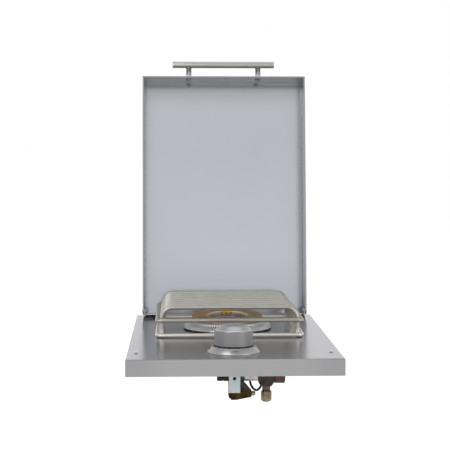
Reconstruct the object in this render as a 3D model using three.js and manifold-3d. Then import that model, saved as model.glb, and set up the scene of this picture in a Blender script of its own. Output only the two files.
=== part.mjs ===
// Built in side burner: a drop-in gas burner with a hinged lid, a wire grate and a brass ring burner.
// Millimetres, +X to the right, +Y away from the user, +Z up. The origin is the middle of the front
// rest flange's underside, the face that sits on the counter. The lid is shown open.

import * as THREE from 'three';
import { mergeVertices } from 'three/addons/utils/BufferGeometryUtils.js';
import Module from 'manifold-3d';

const wasm = await Module();
wasm.setup();

// Clearances shared by all pieces
const fitGap = 0.3;
const overrun = 5;
const sheet = 1.2;
const bendRadius = 1.8;

// Tray, measured from its front edge and from its deck
const trayWidth = 322;
const trayDepth = 498;
const apronHeight = 25.4;
const restFlange = 16;
const burnerHoleInset = 2.5;
const stemHoleRadius = 15;

// Lid, its pivot and its hem
const lidMargin = 12.5;
const lidFromFront = 20;
const lidDepth = 60;
const lidLift = 2.5;
const hemHeight = 6;
const hemThickness = 1.2;
const pivotFromRear = 50;
const pivotHeight = 14;
const pivotInset = 7;
const rearSkirtLift = 9;
const openAngle = THREE.MathUtils.degToRad(96.6);

// Hinge
const pinRadius = 2.5;
const pinHeadRadius = 3.8;
const pinHeadHeight = 0.9;
const pinTailHeight = 1.5;
const bracketSheet = 2;
const bracketTopRadius = 6.5;
const bracketFootWidth = 14;
const bracketFootLength = 28;
const washerRadius = 5;
const washerHeight = 1.1;

// T-bar handle
const handleOverhang = 30;
const handleLength = 188;
const handleRadius = 6;
const handleProjection = 26.3;
const handleChamfer = 0.8;
const postRadius = 5;
const handleScrewRadius = 2.3;
const handleScrewHeadRadius = 4.8;
const handleScrewHeadHeight = 3;
const handleScrewReach = 13;

// Bumpers under the closed lid's rim, and the strip behind the hinge that the open lid leans on
const bumperRadius = 3;
const bumperFromFront = 62;
const stripFromPivot = 20;
const stripDepth = 4;
const stripHeight = 3.8;

// Wire grate
const grateWire = 7;
const grateMargin = 30.2;
const grateLength = 226;
const lowerRingHeight = 4;
const upperRingHeight = 28.2;
const archTop = 48.8;
const archBend = 18;
const archCount = 8;

// Ring burner, measured from its axis and from the deck
const burnerFromPivot = 124;
const ringOuterRadius = 60.5;
const ringInnerRadius = 34;
const ringBottom = 8;
const ringSplit = 14;
const ringTop = 24.2;
const ringCrown = 0.6;
const ringShoulder = 2.4;
const castWall = 2.3;
const portRadius = 1.1;
const portHeight = 20;
const portCount = 28;
const inletBossRadius = 10;
const inletBoreRadius = 7.7;
const inletBossBottom = -5.7;
const legRadius = 5;

// Drip pan
const panRimReach = 15.5;
const panCrestReach = 4.5;
const panCrestHeight = 15;
const panFloorReach = 0.5;
const panSheet = 0.8;
const panRimLift = 1.6;
const panRimHeight = 3.4;

// Strap that carries the burner under the tray
const strapReach = 15.5;
const strapWidth = 26;
const strapSheet = 2;
const smallScrewRadius = 2;
const smallHeadRadius = 3.6;
const smallHeadHeight = 2.4;

// Igniter electrode, module and lead
const electrodeX = 14;
const electrodeY = 20;
const ceramicRadius = 3;
const ceramicBottom = -14;
const ceramicTop = 13;
const sparkRadius = 0.8;
const sparkHeight = 20;
const sparkReach = 8;
const clipSheet = 1.2;
const clipWidth = 13;
const moduleWidth = 40;
const moduleLength = 30;
const moduleHeight = 20;
const moduleX = 82;
const moduleFromFront = 128;
const leadRadius = 1.4;
const leadLoopX = 33.4;
const leadLoopBehind = 17;
const leadLoopHalf = 6.2;
const leadLoopBottom = -57.5;
const leadRunX = 20;
const leadRunHeight = -17;

// Knob and bezel
const knobFromFront = 70;
const knobRadius = 29.15;
const knobBottom = 10.6;
const knobRimHeight = 34.6;
const knobDomeHeight = 42.4;
const knobFillet = 2.8;
const knobWall = 2.2;
const knobHubRadius = 8;
const pointerWidth = 1.8;
const pointerDepth = 0.9;
const bezelRadius = 39.8;
const bezelTopRadius = 33.2;
const bezelHeight = 9.2;
const bezelEdge = 1.2;
const bezelWall = 1.6;
const bezelFloor = 5;
const bezelScrewSpread = 44;
const knobGap = 1;

// Gas valve, below the knob
const stemRadius = 4;
const stemFlat = 3;
const stemTop = 29;
const pushTravel = 3;
const collarRadius = 6.3;
const collarHeight = 2;
const bonnetWidth = 24;
const bonnetHeight = 3;
const valveRadius = 12.5;
const valveFlangeRadius = 14;
const valveFlangeHeight = 8;
const valveBottom = -44;
const boreRadius = 7.4;
const boreBottom = -42;
const plugTop = -18;
const plugSocketDepth = 8;
const springWire = 0.9;
const springRadius = 5.3;
const springTurns = 4;
const portBoreRadius = 3.2;
const outletHeight = -26;
const armThickness = 16;
const armBevel = 2;
const armCorner = 4.5;
const armBottom = -73;
const armTipX = 27;
const armTipHeight = -64;
const nippleRadius = 3.6;
const nippleLength = 5.6;

// Bracket plate on the valve's front
const plateWidth = 17.3;
const plateCentre = 0.9;
const plateBottom = -60.7;
const plateSheet = 1.5;
const plateHoleRadius = 2.6;
const plateHoleHeight = -38.9;
const plateScrewHeight = -22;

// Gas line
const pipeRadius = 8.55;
const pipeWall = 2.3;
const pipeHeight = -36.3;
const endPlugLength = 9;
const inletBossLength = 3.5;
const teeX = 49.6;
const teeRadius = 11.4;
const teeHalfLength = 12.2;
const teeDrop = 16.4;
const teeNeckRadius = 8.6;
const teePlugRadius = 12;
const teePlugLength = 15.6;
const fittingRadius = 6.2;
const fittingBoreRadius = 3.1;
const fittingLength = 6.4;
const nutRadius = 8.1;
const nutLength = 16.6;
const nutChamfer = 2.4;
const nutBoreRadius = 4.25;
const plugChamfer = 1;

// Orifice, air shutter and mixer tube
const orificeRadius = 5;
const orificeLength = 10;
const orificeTipRadius = 3.2;
const orificeTipLength = 6;
const orificeBoreRadius = 0.9;
const bellRadius = 16.5;
const bellLength = 22;
const mixerRadius = 10;
const mixerWall = 1.8;
const bellFace = 2;
const shutterSheet = 1.2;
const shutterHubRadius = 4.2;
const airSlotInner = 7;
const airSlotOuter = 13.5;
const airSlotSpan = THREE.MathUtils.degToRad(52);
const airSlotCount = 3;
const elbowRadius = 17;

// Facet counts
const smallSides = 8;
const holeSides = 10;
const roundSides = 16;
const wheelSides = 28;
const wireSides = 8;
const tubeSides = 10;
const hexSides = 6;
const portSides = 5;
const springSides = 5;
const bendSteps = 4;
const wireBendSteps = 3;
const filletSteps = 3;
const domeSteps = 4;
const grooveSteps = 5;
const springSteps = 7;
const leadSteps = 38;
const slotEndSteps = 6;

// Places worked out from the sizes
const trayFront = -restFlange / 2;
const trayMiddle = trayFront + trayDepth / 2;
const pivotFromFront = trayDepth - pivotFromRear;
const lidWidth = trayWidth - 2 * lidMargin;
const lidLength = pivotFromFront - lidFromFront + pivotInset;
const grateWidth = lidWidth - 2 * grateMargin;
const burnerFromFront = pivotFromFront - burnerFromPivot;
const underDeck = -sheet - fitGap;
const lidBottom = lidLift - pivotHeight;
const lidTop = lidBottom + lidDepth;
const lidFront = pivotInset - lidLength;
const handleLevel = lidBottom + lidDepth / 2;
const grateBend = grateWire + fitGap;
const bonnetTop = underDeck;
const bonnetBottom = bonnetTop - bonnetHeight;
const bodyTop = bonnetBottom - fitGap;
const bellFront = valveRadius + fitGap + orificeLength + orificeTipLength;
const ringMiddleRadius = (ringOuterRadius + ringInnerRadius) / 2;
const burnerHoleRadius = ringOuterRadius - burnerHoleInset;
const panRimRadius = ringOuterRadius + panRimReach;
const panCrestRadius = ringOuterRadius + panCrestReach;
const panFloorRadius = ringOuterRadius + panFloorReach;
const strapLength = 2 * (ringOuterRadius + strapReach);
const handleCentres = handleLength - 2 * handleOverhang;
const collarTop = bodyTop - fitGap;
const collarBottom = collarTop - collarHeight;
const plateBack = -valveRadius - fitGap;
const plateTop = bodyTop - valveFlangeHeight - fitGap;
const teeBottom = pipeHeight - teeDrop;
const bracketOuter = lidWidth / 2 - sheet - washerHeight - 2 * fitGap;
const bracketScrewX = bracketOuter - bracketSheet - bracketFootWidth / 2;

// What comes in pairs, with its sign along x
const sides = [['left', -1], ['right', 1]];
const bezelScrewPlaces = sides.map(([, side]) => [side * bezelScrewSpread / 2, 0]);
const bracketScrewPlaces = sides.map(([, side]) => [side * bracketScrewX, 0]);

const finishes = {
  brushedSteel: { color: 0xb4b6b8, roughness: 0.35, metalness: 1 },
  wireSteel: { color: 0xb9b5aa, roughness: 0.4, metalness: 1 },
  satinSteel: { color: 0x9d9fa1, roughness: 0.45, metalness: 1 },
  panSteel: { color: 0xc4c6c8, roughness: 0.3, metalness: 1 },
  screwSteel: { color: 0x8d8f92, roughness: 0.35, metalness: 1 },
  burnerBrass: { color: 0x9a7f52, roughness: 0.45, metalness: 1 },
  valveBrass: { color: 0x5c4a36, roughness: 0.5, metalness: 1 },
  darkBronze: { color: 0x4a3228, roughness: 0.5, metalness: 1 },
  redBronze: { color: 0x6a3d31, roughness: 0.45, metalness: 1 },
  oliveBrass: { color: 0x817650, roughness: 0.4, metalness: 1 },
  pipeSteel: { color: 0x8a7f72, roughness: 0.45, metalness: 1 },
  zincPlate: { color: 0xc3d0cf, roughness: 0.4, metalness: 0.8 },
  blackPlastic: { color: 0x161616, roughness: 0.6, metalness: 0 },
  leadJacket: { color: 0x121212, roughness: 0.55, metalness: 0 },
  ceramic: { color: 0xe9e6dd, roughness: 0.4, metalness: 0 },
  blackRubber: { color: 0x141414, roughness: 0.6, metalness: 0 },
  clearRubber: { color: 0x9a9c9c, roughness: 0.5, metalness: 0 },
};

// Shape helpers

// A welded copy of a geometry with no flat triangles and its faces pointing out.
function welded(geometry) {
  const bare = geometry.clone();
  bare.deleteAttribute('normal');
  bare.deleteAttribute('uv');
  const merged = mergeVertices(bare);
  const places = merged.getAttribute('position');
  const corners = merged.getIndex().array;
  const kept = [];
  const a = new THREE.Vector3();
  const b = new THREE.Vector3();
  const c = new THREE.Vector3();
  let volume = 0;
  for (let i = 0; i < corners.length; i += 3) {
    const [p, q, r] = [corners[i], corners[i + 1], corners[i + 2]];
    if (p === q || q === r || r === p) continue;
    kept.push(p, q, r);
    a.fromBufferAttribute(places, p);
    b.fromBufferAttribute(places, q);
    c.fromBufferAttribute(places, r);
    volume += a.dot(b.cross(c));
  }
  merged.setIndex(volume < 0 ? kept.reverse() : kept);
  return merged;
}

function solidOf(geometry) {
  const shell = welded(geometry);
  return new wasm.Manifold(new wasm.Mesh({
    numProp: 3,
    vertProperties: new Float32Array(shell.getAttribute('position').array),
    triVerts: new Uint32Array(shell.getIndex().array),
  }));
}

function geometryOf(solid) {
  const mesh = solid.getMesh();
  const geometry = new THREE.BufferGeometry();
  geometry.setAttribute('position', new THREE.BufferAttribute(new Float32Array(mesh.vertProperties), 3));
  geometry.setIndex(Array.from(mesh.triVerts));
  return geometry;
}

function join(first, ...others) {
  return geometryOf(others.reduce((sum, piece) => sum.add(solidOf(piece)), solidOf(first)));
}

function cut(first, ...others) {
  return geometryOf(others.reduce((rest, piece) => rest.subtract(solidOf(piece)), solidOf(first)));
}

function block(low, high) {
  const size = high.map((value, axis) => value - low[axis]);
  const middle = high.map((value, axis) => (value + low[axis]) / 2);
  return new THREE.BoxGeometry(...size).translate(...middle);
}

// A cylinder from one point of its axis to another along x, y or z.
function rod(axis, radius, from, to, at = [0, 0], sides = holeSides, endRadius = radius) {
  const geometry = new THREE.CylinderGeometry(endRadius, radius, to - from, sides);
  const middle = (from + to) / 2;
  if (axis === 'x') return geometry.rotateZ(-Math.PI / 2).translate(middle, at[0], at[1]);
  if (axis === 'y') return geometry.translate(at[0], middle, at[1]);
  return geometry.rotateX(Math.PI / 2).translate(at[0], at[1], middle);
}

// A turned piece about z from points of radius and height.
function turned(points, sides = wheelSides) {
  const profile = points.map(([radius, height]) => new THREE.Vector2(radius, height));
  return new THREE.LatheGeometry(profile, sides).rotateX(Math.PI / 2);
}

// Points of an arc in a plane, both ends included.
function arc(centreX, centreY, radiusX, radiusY, from, to, steps) {
  return Array.from({ length: steps + 1 }, (_, i) => {
    const angle = from + (to - from) * i / steps;
    return [centreX + radiusX * Math.cos(angle), centreY + radiusY * Math.sin(angle)];
  });
}

function outline(points) {
  return new THREE.Shape(points.map(([x, y]) => new THREE.Vector2(x, y)));
}

// An outline in x and z, given its thickness along y about a middle.
function sideCut(points, thickness, middle = 0, bevel = 0) {
  const core = thickness - 2 * bevel;
  const geometry = new THREE.ExtrudeGeometry(outline(points), {
    depth: core,
    bevelEnabled: bevel > 0,
    bevelThickness: bevel,
    bevelSize: bevel,
    bevelOffset: -bevel,
    bevelSegments: 2,
  });
  return geometry.rotateX(Math.PI / 2).translate(0, middle + core / 2, 0);
}

// An outline in y and z, given its thickness along x from one side to another.
function endCut(points, from, to) {
  const geometry = new THREE.ExtrudeGeometry(outline(points), { depth: to - from, bevelEnabled: false });
  return geometry.rotateX(Math.PI / 2).rotateZ(Math.PI / 2).translate(from, 0, 0);
}

// An outline in x and y, raised from one height to another.
function raised(points, from, to) {
  const geometry = new THREE.ExtrudeGeometry(outline(points), { depth: to - from, bevelEnabled: false });
  return geometry.translate(0, 0, from);
}

// A folded sheet block: square welded corners at the sides and a bend along its four top edges.
function foldedBlock(width, depth, bottom, top, bend) {
  const levels = [[0, bottom]];
  for (const [inset, rise] of arc(0, 0, bend, bend, 0, Math.PI / 2, filletSteps)) {
    levels.push([bend - inset, top - bend + rise]);
  }
  const places = [];
  for (const [inset, height] of levels) {
    const [x, y] = [width / 2 - inset, depth / 2 - inset];
    places.push(-x, -y, height, x, -y, height, x, y, height, -x, y, height);
  }
  const index = [0, 2, 1, 0, 3, 2];
  for (let level = 0; level < levels.length - 1; level += 1) {
    for (let side = 0; side < 4; side += 1) {
      const [a, b] = [4 * level + side, 4 * level + (side + 1) % 4];
      index.push(a, b, b + 4, a, b + 4, a + 4);
    }
  }
  const last = 4 * (levels.length - 1);
  index.push(last, last + 1, last + 2, last, last + 2, last + 3);
  const geometry = new THREE.BufferGeometry();
  geometry.setAttribute('position', new THREE.Float32BufferAttribute(places, 3));
  geometry.setIndex(index);
  return geometry;
}

// Round wire along points in a plane, open with flat ends or closed on itself.
function wire(points, planeNormal, radius, closed = false, sides = wireSides) {
  const route = points.map((point) => new THREE.Vector3(...point));
  const count = route.length;
  const places = [];
  route.forEach((point, i) => {
    const before = route[closed ? (i + count - 1) % count : Math.max(i - 1, 0)];
    const after = route[closed ? (i + 1) % count : Math.min(i + 1, count - 1)];
    const along = after.clone().sub(before).normalize();
    const across = new THREE.Vector3().crossVectors(along, planeNormal);
    for (let side = 0; side < sides; side += 1) {
      const angle = 2 * Math.PI * (side + 0.5) / sides;
      const place = point.clone()
        .addScaledVector(planeNormal, radius * Math.sin(angle))
        .addScaledVector(across, radius * Math.cos(angle));
      places.push(place.x, place.y, place.z);
    }
  });
  const index = [];
  const spans = closed ? count : count - 1;
  for (let span = 0; span < spans; span += 1) {
    for (let side = 0; side < sides; side += 1) {
      const next = (side + 1) % sides;
      const [a, b] = [span * sides + side, span * sides + next];
      const [c, d] = [((span + 1) % count) * sides + next, ((span + 1) % count) * sides + side];
      index.push(a, b, c, a, c, d);
    }
  }
  if (!closed) {
    for (let side = 1; side < sides - 1; side += 1) {
      const last = (count - 1) * sides;
      index.push(0, side + 1, side, last, last + side, last + side + 1);
    }
  }
  const geometry = new THREE.BufferGeometry();
  geometry.setAttribute('position', new THREE.Float32BufferAttribute(places, 3));
  geometry.setIndex(index);
  return welded(geometry);
}

// Solid bar along a smooth route through points, with a round section.
function cord(points, radius, steps, sides = wireSides) {
  const path = new THREE.CatmullRomCurve3(points.map((point) => new THREE.Vector3(...point)));
  const section = outline(arc(0, 0, radius, radius, 0, 2 * Math.PI * (1 - 1 / sides), sides - 1));
  return new THREE.ExtrudeGeometry(section, { steps, bevelEnabled: false, extrudePath: path });
}

// A round stem with one flat, as its outline in x and y.
function flattedOutline(radius, flat) {
  const half = Math.acos(flat / radius);
  return arc(0, 0, radius, radius, Math.PI / 2 + half, 5 * Math.PI / 2 - half, holeSides);
}

// A bar with straight sides and round ends, as its outline in x and y.
function slotOutline(spread, radius) {
  return [
    ...arc(spread / 2, 0, radius, radius, -Math.PI / 2, Math.PI / 2, slotEndSteps),
    ...arc(-spread / 2, 0, radius, radius, Math.PI / 2, 3 * Math.PI / 2, slotEndSteps),
  ];
}

// A screw whose head lies on a face at z = seat, pointing down, with a low domed head.
function screw(shankRadius, headRadius, headHeight, reach, at, seat, sides = smallSides) {
  const crown = headHeight / 3;
  return turned([
    [0, seat - reach],
    [shankRadius, seat - reach],
    [shankRadius, seat],
    [headRadius, seat],
    [headRadius, seat + headHeight - crown],
    [headRadius - crown, seat + headHeight],
    [0, seat + headHeight],
  ], sides).translate(at[0], at[1], 0);
}

// Two distances from the middle as a low and a high x on one side.
function onSide(side, near, far) {
  return [Math.min(side * near, side * far), Math.max(side * near, side * far)];
}

function piece(parent, name, geometry, finish) {
  const shell = welded(geometry);
  shell.computeVertexNormals();
  const mesh = new THREE.Mesh(shell, new THREE.MeshStandardMaterial(finishes[finish]));
  mesh.name = name;
  parent.add(mesh);
  return mesh;
}

function placedGroup(parent, x, y, z) {
  const group = new THREE.Group();
  group.position.set(x, y, z);
  parent.add(group);
  return group;
}

// Tray: deck, apron on four sides and a rest flange turned inwards under it

function trayGeometry() {
  const hole = smallScrewRadius + fitGap;
  const through = [apronHeight - sheet - overrun, apronHeight + overrun];
  const shell = foldedBlock(trayWidth, trayDepth, 0, apronHeight, bendRadius);
  const inner = foldedBlock(trayWidth - 2 * sheet, trayDepth - 2 * sheet, -overrun, apronHeight - sheet,
    bendRadius - sheet);
  const drilled = (places, fromFront) => places.map(([x, y]) =>
    rod('z', hole, ...through, [x, fromFront + y - trayDepth / 2], smallSides));
  return cut(shell, inner,
    rod('z', burnerHoleRadius, ...through, [0, burnerFromFront - trayDepth / 2], wheelSides),
    rod('z', stemHoleRadius, ...through, [0, knobFromFront - trayDepth / 2], roundSides),
    ...drilled(bezelScrewPlaces, knobFromFront),
    ...drilled(bracketScrewPlaces, pivotFromFront),
  ).translate(0, trayMiddle, 0);
}

// Frame inside the apron's foot that rests on the counter

function restFrame() {
  const inset = sheet + fitGap;
  const corner = (margin, z, side) =>
    [side * (trayWidth / 2 - margin), trayMiddle + side * (trayDepth / 2 - margin), z];
  return cut(
    block(corner(inset, 0, -1), corner(inset, sheet, 1)),
    block(corner(restFlange, -overrun, -1), corner(restFlange, sheet + overrun, 1)),
  );
}

// Bumpers under the lid's rim, and the strip that the open lid leans on

function bumper(x, y, height) {
  return rod('z', bumperRadius, fitGap, height - fitGap, [x, y], holeSides, bumperRadius - height / 2);
}

function lidBumper(side) {
  return bumper(side * (lidWidth / 2 - sheet), bumperFromFront, lidLift);
}

function stopStrip() {
  const half = lidWidth / 2 - sheet;
  const rear = pivotFromFront + stripFromPivot;
  return block([-half, rear, fitGap], [half, rear + stripDepth, stripHeight]);
}

// Hinge: brackets on the deck, shouldered pins, washers and foot screws, about the lid's pivot

function hingeBracket(side) {
  const base = fitGap - pivotHeight;
  const inner = bracketOuter - bracketSheet;
  const upright = [
    [-bracketTopRadius, base],
    [bracketTopRadius, base],
    ...arc(0, 0, bracketTopRadius, bracketTopRadius, 0, Math.PI, 2 * bendSteps),
  ];
  const [footLow, footHigh] = onSide(side, inner - bracketFootWidth, bracketOuter);
  const foot = block([footLow, -bracketFootLength / 2, base],
    [footHigh, bracketFootLength / 2, base + bracketSheet]);
  const plate = endCut(upright, ...onSide(side, inner, bracketOuter));
  const screwHole = rod('z', smallScrewRadius + fitGap, base - overrun, base + overrun,
    [side * bracketScrewX, 0], smallSides);
  return cut(join(plate, foot), rod('x', pinRadius + fitGap, -lidWidth, lidWidth), screwHole);
}

function hingePin(side) {
  const headInner = lidWidth / 2 + fitGap;
  const tailOuter = bracketOuter - bracketSheet - fitGap;
  const tailRadius = pinRadius + pinTailHeight;
  const profile = [
    [0, tailOuter - pinTailHeight],
    [tailRadius, tailOuter - pinTailHeight],
    [tailRadius, tailOuter],
    [pinRadius, tailOuter],
    [pinRadius, headInner],
    [pinHeadRadius, headInner],
    [pinHeadRadius, headInner + pinHeadHeight / 2],
    [pinHeadRadius - pinHeadHeight / 2, headInner + pinHeadHeight],
    [0, headInner + pinHeadHeight],
  ];
  return turned(profile, holeSides).rotateY(side * Math.PI / 2);
}

function hingeWasher(side) {
  const near = bracketOuter + fitGap;
  const disc = rod('x', washerRadius, ...onSide(side, near, near + washerHeight));
  return cut(disc, rod('x', pinRadius + fitGap, -lidWidth, lidWidth));
}

function hingeScrew(side) {
  const seat = fitGap - pivotHeight + bracketSheet + fitGap;
  const reach = bracketSheet + sheet + 2 * fitGap;
  return screw(smallScrewRadius, smallHeadRadius, smallHeadHeight, reach, [side * bracketScrewX, 0], seat);
}

// Lid: a folded pan with hemmed skirts, shown here shut and turned open by its group

function lidGeometry() {
  const middle = pivotInset - lidLength / 2;
  const inner = (wall, bottom, top) => foldedBlock(lidWidth - 2 * wall, lidLength - 2 * wall, bottom, top,
    bendRadius - sheet).translate(0, middle, 0);
  const shell = foldedBlock(lidWidth, lidLength, lidBottom, lidTop, bendRadius).translate(0, middle, 0);
  const roundedCorner = cut(
    block([-lidWidth, 0, lidBottom - overrun], [lidWidth, pivotInset + overrun, 0]),
    rod('x', -lidBottom, -lidWidth - overrun, lidWidth + overrun, [0, 0], roundSides),
  );
  const hingeGap = block(
    [sheet - lidWidth / 2, pivotInset - sheet - hemThickness - fitGap, lidBottom - overrun],
    [lidWidth / 2 - sheet, pivotInset + overrun, rearSkirtLift],
  );
  const screwHoles = sides.map(([, side]) =>
    rod('y', handleScrewRadius + fitGap, lidFront - overrun, lidFront + overrun,
      [side * handleCentres / 2, handleLevel], smallSides));
  return cut(shell,
    inner(sheet + hemThickness, lidBottom - overrun, lidTop - sheet),
    inner(sheet, lidBottom + hemHeight, lidTop - sheet),
    roundedCorner, hingeGap,
    rod('x', pinRadius + fitGap, -lidWidth, lidWidth),
    ...screwHoles);
}

function handleBar() {
  const half = handleLength / 2;
  const front = lidFront - handleProjection;
  const end = handleRadius - handleChamfer;
  const profile = [
    [0, -half],
    [end, -half],
    [handleRadius, handleChamfer - half],
    [handleRadius, half - handleChamfer],
    [end, half],
    [0, half],
  ];
  return turned(profile, roundSides).rotateY(Math.PI / 2).translate(0, front, handleLevel);
}

function handlePost(side) {
  const at = [side * handleCentres / 2, handleLevel];
  const front = lidFront - handleProjection;
  const saddle = rod('x', handleRadius + fitGap, -handleLength, handleLength, [front, handleLevel],
    roundSides);
  const screwEnd = lidFront - handleScrewReach - fitGap;
  return cut(
    rod('y', postRadius, front, lidFront - fitGap, at, roundSides),
    saddle,
    rod('y', handleScrewRadius + fitGap, screwEnd, lidFront + overrun, at, smallSides),
  );
}

function handleScrew(side) {
  const seat = lidFront + sheet + fitGap;
  const reach = handleScrewReach + sheet;
  return screw(handleScrewRadius, handleScrewHeadRadius, handleScrewHeadHeight, reach, [0, 0], 0, holeSides)
    .rotateX(-Math.PI / 2)
    .translate(side * handleCentres / 2, seat, handleLevel);
}

// Wire grate: two rings, and arched bars that stand inside their side wires

function ringWire(height) {
  const [x, y] = [grateWidth / 2 - grateBend, grateLength / 2 - grateBend];
  const corners = [[x, y, 0], [-x, y, 1], [-x, -y, 2], [x, -y, 3]];
  const points = corners.flatMap(([cornerX, cornerY, quarter]) =>
    arc(cornerX, cornerY, grateBend, grateBend, quarter * Math.PI / 2, (quarter + 1) * Math.PI / 2,
      wireBendSteps).map(([px, py]) => [px, py, height]));
  return wire(points, new THREE.Vector3(0, 0, 1), grateWire / 2, true);
}

function archWire(y) {
  const half = grateWidth / 2 - grateWire - fitGap;
  const foot = lowerRingHeight - grateWire / 2;
  const [shoulder, top] = [archTop - archBend, half - archBend];
  const points = [
    [half, foot],
    ...arc(top, shoulder, archBend, archBend, 0, Math.PI / 2, wireBendSteps),
    ...arc(-top, shoulder, archBend, archBend, Math.PI / 2, Math.PI, wireBendSteps),
    [-half, foot],
  ];
  return wire(points.map(([x, z]) => [x, y, z]), new THREE.Vector3(0, 1, 0), grateWire / 2);
}

function archPlaces() {
  const reach = grateLength / 2 - grateWire - fitGap;
  return Array.from({ length: archCount }, (_, i) => reach * (2 * i / (archCount - 1) - 1));
}

// Drip pan: a collar that stands round the burner

function panGeometry() {
  const floor = fitGap;
  const collarFoot = panRimRadius - 2 * panSheet;
  const rimTop = panRimLift + panRimHeight;
  const crestInner = panCrestRadius - 2 * panSheet;
  const outer = [
    [0, floor],
    [panFloorRadius, floor],
    [crestInner + panSheet / 2, panCrestHeight - 2 * panSheet],
    [panCrestRadius, panCrestHeight - panSheet],
    [panCrestRadius + 2 * panSheet, panCrestHeight - 2 * panSheet],
    [collarFoot, rimTop - panSheet],
    [collarFoot, panRimLift],
  ];
  const skin = [
    [panRimRadius - panSheet / 2, panRimLift],
    [panRimRadius, panRimLift + panSheet],
    [panRimRadius - panSheet / 2, rimTop],
    [panCrestRadius + panSheet, panCrestHeight],
    [crestInner, panCrestHeight - panSheet / 2],
    [panFloorRadius - panSheet, floor + panSheet],
    [0, floor + panSheet],
  ];
  const pan = turned([...outer, ...skin], wheelSides);
  const through = [floor - overrun, floor + overrun];
  return cut(pan,
    rod('z', inletBossRadius + 2 * fitGap, ...through, [0, ringMiddleRadius], roundSides),
    rod('z', ceramicRadius + fitGap, ...through, [electrodeX, electrodeY]),
    ...sides.map(([, side]) => rod('z', legRadius + 2 * fitGap, ...through, [side * ringMiddleRadius, 0])));
}

// Ring burner: a cast channel with its inlet boss and two legs, and a cap with inward ports

function burnerBase() {
  const legBottom = underDeck + fitGap;
  const [inner, outer] = [ringInnerRadius + castWall, ringOuterRadius - castWall];
  const edge = castWall / 2;
  const channel = turned([
    [ringInnerRadius, ringBottom + edge],
    [ringInnerRadius + edge, ringBottom],
    [ringOuterRadius - edge, ringBottom],
    [ringOuterRadius, ringBottom + edge],
    [ringOuterRadius, ringSplit],
    [outer, ringSplit],
    [outer, ringBottom + castWall],
    [inner, ringBottom + castWall],
    [inner, ringSplit],
    [ringInnerRadius, ringSplit],
    [ringInnerRadius, ringBottom + edge],
  ], portCount);
  const boss = rod('z', inletBossRadius, inletBossBottom, ringBottom + edge, [0, ringMiddleRadius],
    roundSides);
  const legs = sides.map(([, side]) =>
    rod('z', legRadius, legBottom, ringBottom + edge, [side * ringMiddleRadius, 0]));
  const screwHoles = sides.map(([, side]) =>
    rod('z', smallScrewRadius + fitGap, legBottom - overrun, legBottom + 1.5 * legRadius,
      [side * ringMiddleRadius, 0], smallSides));
  const bore = rod('z', inletBoreRadius, inletBossBottom - overrun, ringBottom + 2 * castWall,
    [0, ringMiddleRadius], roundSides);
  return cut(join(channel, boss, ...legs), bore, ...screwHoles);
}

function burnerCap() {
  const bottom = ringSplit + fitGap;
  const shoulder = ringTop - ringCrown - ringShoulder;
  const corner = (radius, from) =>
    arc(radius, shoulder, ringShoulder, ringShoulder, from, from + Math.PI / 2, filletSteps);
  const [inner, outer, ceiling] = [ringInnerRadius + castWall, ringOuterRadius - castWall,
    ringTop - ringCrown - castWall];
  const cap = turned([
    [ringOuterRadius, bottom],
    ...corner(ringOuterRadius - ringShoulder, 0),
    [ringMiddleRadius, ringTop],
    ...corner(ringInnerRadius + ringShoulder, Math.PI / 2),
    [ringInnerRadius, bottom],
    [inner, bottom],
    [inner, ceiling],
    [outer, ceiling],
    [outer, bottom],
    [ringOuterRadius, bottom],
  ], portCount);
  const through = [ringInnerRadius - overrun, ringInnerRadius + 3 * castWall];
  const pitch = 2 * Math.PI / portCount;
  const ports = Array.from({ length: portCount }, (_, i) =>
    rod('x', portRadius, ...through, [0, portHeight], portSides).rotateZ(pitch * (i + 0.5)));
  return cut(cap, ...ports);
}

// Strap under the tray with the screws that hold the burner and the strap

function burnerStrap() {
  const [top, bottom] = [underDeck, underDeck - strapSheet];
  const through = [bottom - overrun, top + overrun];
  return cut(
    block([-strapLength / 2, -strapWidth / 2, bottom], [strapLength / 2, strapWidth / 2, top]),
    ...sides.map(([, side]) =>
      rod('z', smallScrewRadius + fitGap, ...through, [side * ringMiddleRadius, 0], smallSides)),
  );
}

function burnerScrew(side) {
  const seat = underDeck - strapSheet - fitGap;
  return screw(smallScrewRadius, smallHeadRadius, smallHeadHeight, strapSheet + 1.5 * legRadius, [0, 0], 0)
    .rotateX(Math.PI)
    .translate(side * ringMiddleRadius, 0, seat);
}

// Igniter: ceramic, spark wire, clip on the strap, module under the deck and the lead between them

function electrodeCeramic() {
  const neck = ceramicRadius / 2;
  const ceramic = turned([
    [0, ceramicBottom],
    [neck, ceramicBottom],
    [ceramicRadius, ceramicBottom + neck],
    [ceramicRadius, ceramicTop - neck],
    [neck, ceramicTop],
    [0, ceramicTop],
  ], holeSides);
  return ceramic.translate(electrodeX, electrodeY, 0);
}

function electrodeWire() {
  const bend = sparkRadius * 2;
  const rise = arc(electrodeY + bend, sparkHeight - bend, bend, bend, Math.PI, Math.PI / 2, filletSteps)
    .map(([y, z]) => [electrodeX, y, z]);
  const points = [
    [electrodeX, electrodeY, ceramicTop + fitGap],
    ...rise,
    [electrodeX, electrodeY + sparkReach, sparkHeight],
  ];
  return wire(points, new THREE.Vector3(1, 0, 0), sparkRadius, false, hexSides);
}

function electrodeClip() {
  const top = underDeck - strapSheet - fitGap;
  const far = electrodeY + ceramicRadius + clipSheet * 2;
  const near = strapWidth / 2 - clipWidth;
  const hole = ceramicRadius + fitGap;
  return cut(
    block([electrodeX - clipWidth / 2, near, top - clipSheet], [electrodeX + clipWidth / 2, far, top]),
    rod('z', hole, top - overrun, top + overrun, [electrodeX, electrodeY]),
  );
}

function igniterModule() {
  const shell = foldedBlock(moduleWidth, moduleLength, 0, moduleHeight, bendRadius);
  return shell.rotateX(Math.PI).translate(moduleX, moduleFromFront, underDeck);
}

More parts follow.
